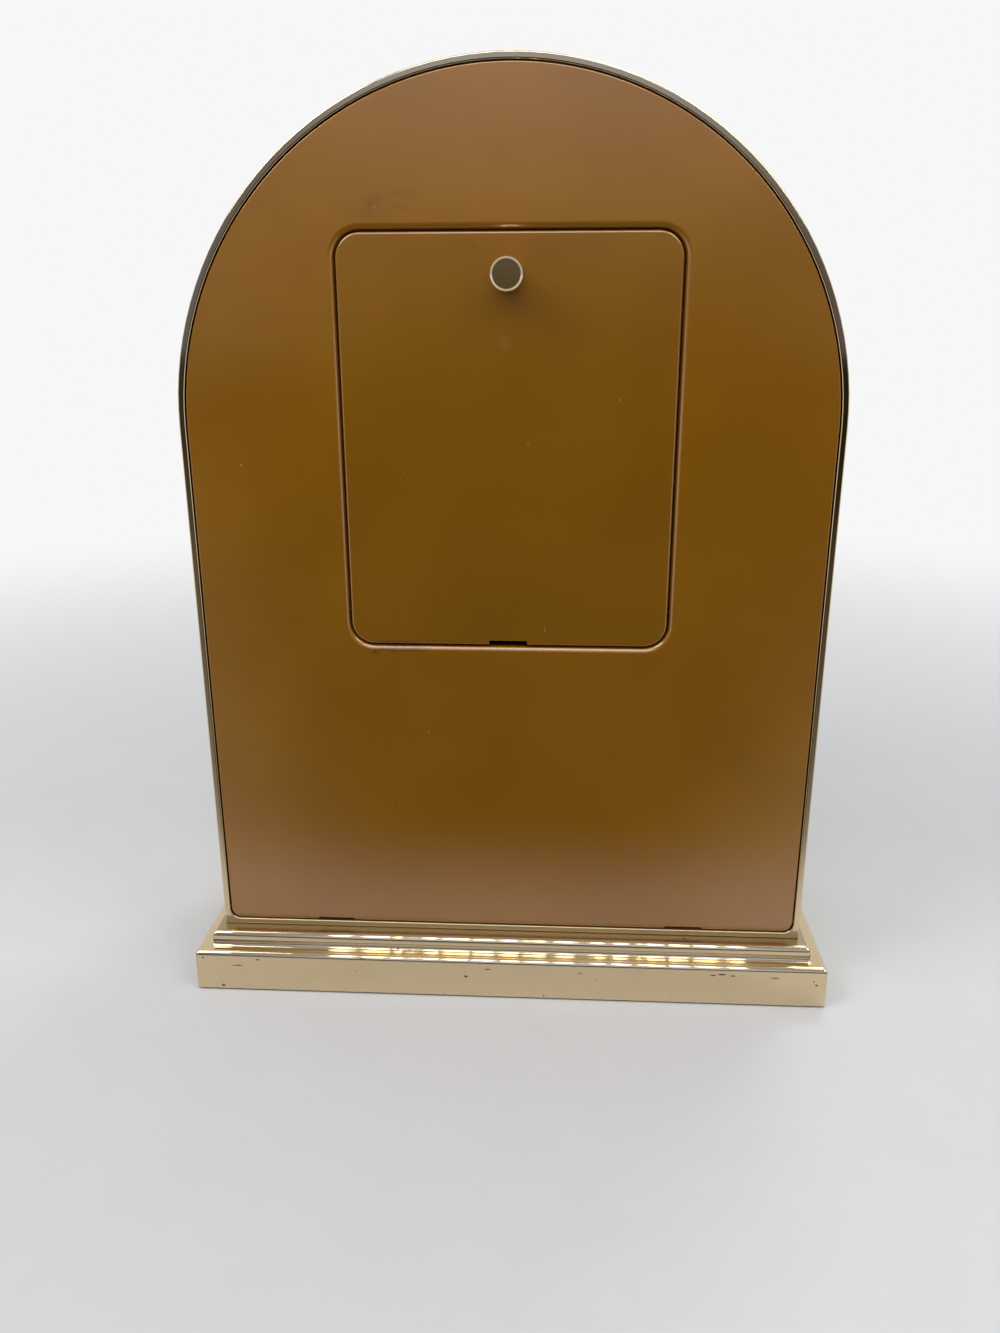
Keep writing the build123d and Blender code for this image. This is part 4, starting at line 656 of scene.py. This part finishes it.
# Dark flecks in the plating of the plinth's back: place, radius and how much shorter they are along x
plinth_marks = tuple(
    ((x * mm, plinth_back, z * mm), radius * mm, stretch)
    for x, z, radius, stretch in (
        (79.5, 8.5, 0.30, 0.16), (73.3, 10.6, 0.30, 0.35), (89.7, 10.8, 0.35, 0.8), (84.2, 1.6, 0.55, 0.8),
        (44.3, 7.7, 0.22, 1.0), (42.5, 11.9, 0.40, 0.3), (5.5, 9.7, 0.25, 0.2), (18.2, 1.2, 0.25, 1.0),
        (-10.8, 1.3, 0.30, 1.0), (-21.3, 9.2, 0.25, 0.3), (-26.2, 7.1, 0.22, 1.0), (-59.5, 9.9, 0.30, 0.3),
        (-62.0, 10.3, 0.36, 0.25), (-65.1, 9.9, 0.30, 0.3), (-77.1, 9.6, 0.26, 0.16), (-89.0, 7.6, 0.40, 0.8),
        (-88.2, 8.7, 0.30, 1.0),
    )
)

# The plinth's top and the foot of the case are darkened with painted shade and made duller: heights where
# that starts and is full, the shaded colour and what it adds to the roughness
plinth_top_shade = (16.7 * mm, 16.97 * mm, brass_top_shade, 0.22)
# Painted shade on the case's foot: below these heights its brass is darker and rougher
case_foot_shade = (20.0 * mm, 18.7 * mm, brass_foot_shade, 0.30)

finishes = {
    "polished_brass": polished_brass("polished_brass"),
    "bronze_panel": bronze_paint("bronze_panel", panel_marks),
    "zinc_steel": bare_steel("zinc_steel"),
    "black_steel": powder_black("black_steel"),
    "felt": felt("felt"),
    "clear_glass": clear_glass("clear_glass"),
    "black_rubber": black_rubber("black_rubber"),
    "dial_gold": brushed_gold("dial_gold"),
    "ivory_enamel": ivory_enamel("ivory_enamel"),
    "hand_black": gloss_black("hand_black"),
    "spring_steel": bare_steel("spring_steel", (0.47, 0.46, 0.45), 0.32),
    "movement_plastic": moulded_plastic("movement_plastic", (0.014, 0.014, 0.015), (0.024, 0.024, 0.025)),
    "gear_plastic": moulded_plastic("gear_plastic", (0.72, 0.70, 0.64), (0.80, 0.79, 0.75), 0.36),
    "turned_brass": turned_brass("turned_brass"),
    "stator_steel": bare_steel("stator_steel", (0.40, 0.40, 0.41), 0.36),
    "coil_copper": wound_copper("coil_copper"),
    "board": circuit_green("board"),
    "chip_plastic": moulded_plastic("chip_plastic", (0.012, 0.012, 0.013), (0.020, 0.020, 0.020), 0.5),
    "crystal_can": bare_steel("crystal_can", (0.66, 0.65, 0.62), 0.2),
    "cell_jacket": cell_jacket("cell_jacket"),
    "contact_nickel": bare_steel("contact_nickel", (0.66, 0.63, 0.56), 0.22),
    "magnet": moulded_plastic("magnet", (0.050, 0.050, 0.055), (0.085, 0.085, 0.090), 0.45),
}
own_finishes = {
    "base_plinth": polished_brass(
        "plinth_brass", wear=2.4, wave=0.06, rough=0.03, hazy=0.015, shaded_band=plinth_top_shade, marks=plinth_marks
    ),
    "case_shell": polished_brass("case_brass", shaded_band=case_foot_shade),
    "door_panel": bronze_paint("door_bronze", door_marks, shade=0.90),
    "dial_centre": sunray_gold("sunray_gold"),
    # Painted shade: the hinge pins are a near-black brown so that they show no glint
    "hinge_pins": bare_steel("shaded_pin_steel", (0.050, 0.030, 0.012), 0.5),
}
for name, node in frame["nodes"].items():
    slot = node.material_slots[0]
    slot.material = own_finishes.get(name) or finishes[slot.material.name.split(".")[0]]


# Modelling by hand

def fresh(add, **sizes):
    """Adds a primitive with nothing else selected and opens it in edit mode, all selected."""
    bpy.ops.object.select_all(action="DESELECT")
    add(**sizes)
    bpy.ops.object.mode_set(mode="EDIT")
    bpy.ops.mesh.select_all(action="SELECT")
    return bpy.context.active_object


def done(piece, name, finish, body="case"):
    """Closes a piece: its place goes into its mesh, it takes its finish and it rides on its body."""
    if piece.mode == "EDIT":
        bpy.ops.mesh.select_all(action="SELECT")
        bpy.ops.mesh.normals_make_consistent(inside=False)
        bpy.ops.object.mode_set(mode="OBJECT")
    bpy.ops.object.select_all(action="DESELECT")
    piece.select_set(True)
    bpy.context.view_layer.objects.active = piece
    bpy.ops.object.transform_apply(location=True, rotation=True, scale=True)
    bpy.ops.object.shade_smooth_by_angle(angle=smooth_angle)
    piece.name = name
    piece.data.name = name
    piece.data.materials.clear()
    piece.data.materials.append(finish)
    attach(piece, body)
    return piece


def stand_up():
    """Turns the selection, made flat on the ground, to face the dial side."""
    bpy.ops.transform.rotate(value=-math.pi / 2, orient_axis="X", center_override=(0, 0, 0))


def move(place):
    """Moves the selection."""
    bpy.ops.transform.translate(value=place)


def join(parts):
    """Joins finished parts into the first one."""
    bpy.ops.object.select_all(action="DESELECT")
    for part in parts:
        part.select_set(True)
    bpy.context.view_layer.objects.active = parts[0]
    bpy.ops.object.join()
    return parts[0]


def bar(size, place, turn=0.0, round_off=0.0):
    """A flat bar on the dial: width, depth and height about a place, turned about the dial's normal."""
    piece = fresh(bpy.ops.mesh.primitive_cube_add, size=1.0)
    bpy.ops.transform.resize(value=size)
    if round_off:
        bpy.ops.mesh.bevel(offset=round_off, segments=bar_bevel_segments, affect="EDGES")
    bpy.ops.transform.rotate(value=turn, orient_axis="Y", center_override=(0, 0, 0))
    move(place)
    bpy.ops.object.mode_set(mode="OBJECT")
    return piece


def flat_ring(inner, outer, front, depth):
    """A flat ring about the hands' axis, with its face at a depth."""
    piece = fresh(
        bpy.ops.mesh.primitive_circle_add, vertices=ring_segments, radius=outer, fill_type="NOTHING"
    )
    bpy.ops.mesh.extrude_edges_move()
    bpy.ops.transform.resize(value=(inner / outer, inner / outer, 1))
    bpy.ops.mesh.select_all(action="SELECT")
    bpy.ops.mesh.extrude_region_move(TRANSFORM_OT_translate={"value": (0, 0, depth)})
    bpy.ops.mesh.select_all(action="SELECT")
    stand_up()
    move((hands_at.x, front, hands_at.z))
    return piece


def round_bead(radius, size, seat):
    """A half-round bead that stands on the dial, round the hands' axis."""
    piece = fresh(
        bpy.ops.mesh.primitive_torus_add,
        major_radius=radius,
        minor_radius=size,
        major_segments=ring_segments,
        minor_segments=bead_segments,
    )
    bpy.ops.mesh.bisect(plane_co=(0, 0, 0), plane_no=(0, 0, 1), use_fill=False, clear_inner=True)
    bpy.ops.mesh.select_all(action="SELECT")
    stand_up()
    move((hands_at.x, seat, hands_at.z))
    return piece


def minute_track():
    """Two thin circles with sixty strokes between them, every fifth one broad."""
    parts = []
    for inner in (track_inner - track_line, track_outer):
        ring = flat_ring(inner, inner + track_line, ring_front + ink_sink, ink_height)
        bpy.ops.object.mode_set(mode="OBJECT")
        parts.append(ring)
    middle = (track_inner + track_outer) / 2
    for minute in range(60):
        width = hour_mark if minute % 5 == 0 else minute_mark
        turn = full_turn * minute / 60
        place = hands_at + Vector((math.sin(turn), 0, math.cos(turn))) * middle
        place.y = ring_front - ink_height / 2 + ink_sink
        parts.append(bar((width, ink_height, track_outer - track_inner), place, -turn))
    line = flat_ring(inner_line_radius, inner_line_radius + track_line, ring_front + ink_sink, ink_height)
    bpy.ops.object.mode_set(mode="OBJECT")
    parts.append(line)
    return done(join(parts), "minute_track", finishes["hand_black"])


# Letters of the numerals: width as a share of the height, and each stroke's foot and head as shares of that
# width, with whether it is thick
letter_shares = {
    "I": (0.20, ((0.5, 0.5, True),)),
    "V": (0.72, ((0.5, 0.10, True), (0.5, 0.92, False))),
    "X": (0.72, ((0.92, 0.10, True), (0.08, 0.92, False))),
}
numeral_words = ("XII", "I", "II", "III", "IIII", "V", "VI", "VII", "VIII", "IX", "X", "XI")


def numeral(word, turn):
    """A Roman numeral on the chapter ring, its feet towards the hands' axis."""
    widths = [max(letter_shares[letter][0] * numeral_height, numeral_thick) for letter in word]
    start = -(sum(widths) + numeral_space * (len(word) - 1)) / 2
    strokes = []
    for letter, width in zip(word, widths):
        for foot, head, thick in letter_shares[letter][1]:
            x0, x1 = start + foot * width, start + head * width
            breadth = numeral_thick if thick else numeral_thin
            lean = math.atan2(x1 - x0, numeral_height)
            length = numeral_height / math.cos(lean)
            strokes.append((((x0 + x1) / 2, 0), (breadth, length), lean))
            for x, level in ((x0, -1), (x1, 1)):
                serif = breadth + serif_overhang * numeral_serif
                strokes.append(((x, level * (numeral_height - numeral_serif) / 2), (serif, numeral_serif), 0))
        start += width + numeral_space
    parts = []
    across = Vector((math.cos(turn), 0, -math.sin(turn)))
    outwards = Vector((math.sin(turn), 0, math.cos(turn)))
    for (x, height), (breadth, length), lean in strokes:
        place = hands_at + across * x + outwards * (numeral_radius + height)
        place.y = ring_front - ink_height / 2 + ink_sink
        parts.append(bar((breadth, ink_height, length), place, -turn - lean))
    return join(parts)


def numerals():
    """The twelve hours round the chapter ring."""
    parts = [numeral(word, full_turn * hour / 12) for hour, word in enumerate(numeral_words)]
    return done(join(parts), "hour_numerals", finishes["hand_black"])


def dial_beads():
    """Beads round the chapter ring and round the centre disc."""
    for name, radius in (("outer_bead", outer_bead_radius), ("inner_bead", inner_bead_radius)):
        bead = round_bead(radius, bead_size, plate_front)
        done(bead, name, finishes["polished_brass"])


def trellis_frame(half_width, half_height, middle):
    """A raised frame with rounded edges round the trellis, and the matted plate inside it."""
    outer = (2 * (half_width + trellis_frame_width), 2 * (half_height + trellis_frame_width))
    frame_piece = fresh(bpy.ops.mesh.primitive_plane_add, size=1.0)
    bpy.ops.transform.resize(value=(outer[0], outer[1], 1))
    stand_up()
    bpy.ops.mesh.inset(thickness=trellis_frame_width)
    bpy.ops.mesh.delete(type="FACE")
    bpy.ops.mesh.select_all(action="SELECT")
    bpy.ops.mesh.extrude_region_move(TRANSFORM_OT_translate={"value": (0, -trellis_frame_height, 0)})
    bpy.ops.mesh.region_to_loop()
    bpy.ops.mesh.bevel(offset=trellis_frame_height / 3, segments=frame_bevel_segments, affect="EDGES")
    bpy.ops.mesh.select_all(action="SELECT")
    move((hands_at.x, plate_front, middle))
    done(frame_piece, "trellis_frame", finishes["polished_brass"])
    ground = bar(
        (outer[0] - trellis_frame_width, trellis_ground_height, outer[1] - trellis_frame_width),
        (hands_at.x, plate_front - trellis_ground_height / 2, middle),
        round_off=trellis_ground_height / 4,
    )
    done(ground, "trellis_ground", stippled_gold("stippled_gold"))


def trellis_bars(half_width, half_height, middle):
    """Slanting bars in both directions, one set lapped over the other, that end in the frame."""
    parts = []
    reach = trellis_columns + trellis_rows
    for lean, height in ((1, trellis_bar_height), (-1, trellis_bar_height + trellis_bar_lap)):
        for step in range(-reach + 1, reach):
            start = max(-half_width, step * trellis_half - half_height)
            end = min(half_width, step * trellis_half + half_height)
            if (step + reach) % 2 or end <= start:
                continue
            across = (start + end) / 2
            rise = lean * (across - step * trellis_half)
            place = (hands_at.x + across, plate_front - height / 2, middle + rise)
            length = math.sqrt(2) * (end - start) + trellis_bar_width
            size = (trellis_bar_width, height, length)
            parts.append(bar(size, place, -lean * full_turn / 8, trellis_bar_width / 5))
    done(join(parts), "trellis_bars", finishes["polished_brass"])


def trellis_studs(middle):
    """One domed stud is modelled and copied to every crossing inside the frame."""
    first = fresh(
        bpy.ops.mesh.primitive_uv_sphere_add,
        segments=stud_segments,
        ring_count=stud_rings,
        radius=stud_radius,
    )
    bpy.ops.mesh.bisect(plane_co=(0, 0, 0), plane_no=(0, 0, 1), use_fill=True, clear_inner=True)
    bpy.ops.mesh.select_all(action="SELECT")
    bpy.ops.transform.resize(value=(1, 1, stud_height / stud_radius), center_override=(0, 0, 0))
    stand_up()
    bpy.ops.object.mode_set(mode="OBJECT")
    studs = []
    for column in range(-trellis_columns + 1, trellis_columns):
        for row in range(-trellis_rows + 1, trellis_rows):
            if (column + row + trellis_columns + trellis_rows) % 2:
                continue
            stud = first.copy()
            stud.data = first.data.copy()
            stud.location = (hands_at.x + column * trellis_half, plate_front, middle + row * trellis_half)
            bpy.context.scene.collection.objects.link(stud)
            studs.append(stud)
    bpy.data.objects.remove(first)
    done(join(studs), "trellis_studs", finishes["polished_brass"])


def trellis():
    """Gilt trellis on the lower dial, under the chapter ring."""
    half_width, half_height = trellis_columns * trellis_half, trellis_rows * trellis_half
    middle = trellis_foot + half_height
    trellis_frame(half_width, half_height, middle)
    trellis_bars(half_width, half_height, middle)
    trellis_studs(middle)


def border_wire(name, half_width, foot, radius):
    """A round wire that follows the window: along the foot, up one side, over the arch and down again."""
    wire = fresh(
        bpy.ops.mesh.primitive_circle_add, vertices=border_segments, radius=radius, fill_type="NOTHING"
    )
    bpy.ops.transform.rotate(value=math.pi / 2, orient_axis="Y", center_override=(0, 0, 0))
    move((hands_at.x, plate_front, foot))
    turn_in = half_width - border_corner
    legs = hands_at.z - foot - border_corner
    runs = (
        ((turn_in, 0, 0), (turn_in, foot + border_corner), math.pi / 2, border_corner_steps),
        ((0, 0, legs), (0, hands_at.z), math.pi, border_arch_steps),
        ((0, 0, -legs), (-turn_in, foot + border_corner), math.pi / 2, border_corner_steps),
        ((turn_in, 0, 0), None, 0, 0),
    )
    for run, centre, angle, steps in runs:
        bpy.ops.mesh.extrude_edges_move(TRANSFORM_OT_translate={"value": run})
        if centre:
            pivot = (hands_at.x + centre[0], plate_front, centre[1])
            bpy.ops.mesh.spin(steps=steps, angle=angle, center=pivot, axis=(0, 1, 0))
    bpy.ops.mesh.select_all(action="SELECT")
    bpy.ops.mesh.remove_doubles(threshold=radius / 20)
    done(wire, name, finishes["polished_brass"])


minute_track()
numerals()
dial_beads()
trellis()
for border_name, border_size in zip(("outer_border", "inner_border"), border_sizes):
    border_wire(border_name, *border_size)


# Stage, light and camera

def floor():
    """A pale floor that fades to the white of the background away from the clock."""
    piece = fresh(bpy.ops.mesh.primitive_plane_add, size=floor_size)
    bpy.ops.object.mode_set(mode="OBJECT")
    piece.name = "floor"
    f = Finish("pale_floor")
    far = f.length(f.place())
    x, y = f.axes(f.place(), "XY")
    grain = f.noise(60, 3, 0.6)
    camera_ray = f.node("ShaderNodeLightPath", out="Is Camera Ray")
    glossy_ray = f.node("ShaderNodeLightPath", out="Is Glossy Ray")
    narrow = f.between(abs(x) / y.most(mouth_floor_start), mouth_floor_far, mouth_floor_near)
    mouth = f.between(y, mouth_floor_start, mouth_floor_end) * narrow * glossy_ray
    pale = f.mix(grain, floor_dark, floor_pale)
    ground = f.node(
        "ShaderNodeBsdfPrincipled",
        None,
        {
            "Base Color": f.mix(mouth, pale, mouth_floor_colour),
            "Roughness": floor_rough,
            "Specular IOR Level": 0.0,
        },
    )
    white = f.node("ShaderNodeEmission", None, {"Color": (background_level,) * 3 + (1,), "Strength": 1.0})
    seen = camera_ray.most(glossy_ray).most(f.node("ShaderNodeLightPath", out="Is Transmission Ray"))
    fade = f.between(far, floor_fade_start, floor_fade_end) * seen * (1 - mouth)
    piece.data.materials.append(f.show(f.node("ShaderNodeMixShader", None, {0: fade, 1: ground, 2: white})))


def tent():
    """White light tent that is open, and so darker, behind the camera of the photograph."""
    world = bpy.data.worlds.new("light_tent")
    bpy.context.scene.world = world
    f = Finish("light_tent", world)
    x, y, z = f.axes(f.node("ShaderNodeTexCoord", out="Generated"), "XYZ")
    walls = f.mix(f.between(y, -mouth_side, mouth_side), (dial_side_level,) * 3, (tent_level,) * 3)
    room = f.mix(f.between(z, mouth_eye, room_foot), mouth_colour, room_colour)
    room = f.mix(f.between(abs(x), mouth_near, mouth_far), room, aside_colour)
    mouth = f.between(y, mouth_side, mouth_middle) * f.between(z, room_top, room_full)
    seen = f.node("ShaderNodeLightPath", out="Is Camera Ray")
    colour = f.mix(seen, f.mix(mouth, walls, room), (background_level,) * 3)
    light = f.node("ShaderNodeBackground", None, {"Color": colour, "Strength": 1.0})
    f.node("ShaderNodeOutputWorld", None, {"Surface": light})


def lamp(name, place, direction, size, radiance):
    """A soft oval lamp that is seen in reflections and not by the camera."""
    data = bpy.data.lights.new(name, "AREA")
    data.shape = "ELLIPSE"
    data.size, data.size_y = size
    data.energy = radiance * math.pi * size[0] * size[1] * math.pi / 4
    lamp_object = bpy.data.objects.new(name, data)
    lamp_object.location = place
    lamp_object.rotation_mode = "QUATERNION"
    lamp_object.rotation_quaternion = direction.to_track_quat("-Z", "Y")
    lamp_object.visible_camera = False
    bpy.context.scene.collection.objects.link(lamp_object)


def lamps():
    """A row of narrow lamps over the clock's back, two lamps at each side, and one for the dial."""
    for number in range(row_count):
        shift = Vector(((number - (row_count - 1) / 2) * row_step, 0, 0))
        lamp("row_lamp", row_place + shift, row_aim - row_place, row_lamp_size, row_radiance)
    for side, wing_radiance in zip((1, -1), wing_radiances):
        place = Vector((side * side_place.x, side_place.y, side_place.z))
        lamp("side_lamp", place, side_aim - place, side_lamp_size, side_radiance)
        place = Vector((side * wing_place.x, wing_place.y, wing_place.z))
        lamp("wing_lamp", place, wing_aim - place, wing_size, wing_radiance)
    lamp("dial_lamp", dial_lamp_place, dial_lamp_aim - dial_lamp_place, dial_lamp_size, dial_lamp_radiance)


def camera():
    """Camera at the photograph's place, turned by its yaw, pitch and roll from a level look along -Y."""
    data = bpy.data.cameras.new("photo_camera")
    data.sensor_width = sensor_size
    data.lens = focal_pixels * sensor_size / max(photo_width, photo_height)
    data.clip_start, data.clip_end = clip_near, clip_far
    level = Matrix(((-1, 0, 0), (0, 0, -1), (0, -1, 0)))
    yaw = Matrix.Rotation(camera_yaw, 3, "Y")
    pitch = Matrix.Rotation(camera_pitch, 3, "X")
    roll = Matrix.Rotation(camera_roll, 3, "Z")
    right, down, ahead = roll @ pitch @ yaw @ level
    turned = Matrix((right, -down, -ahead)).transposed()
    camera_object = bpy.data.objects.new("photo_camera", data)
    camera_object.matrix_world = Matrix.Translation(camera_place) @ turned.to_4x4()
    bpy.context.scene.collection.objects.link(camera_object)
    bpy.context.scene.camera = camera_object


floor()
tent()
lamps()
camera()
bpy.context.scene.view_settings.view_transform = "Standard"
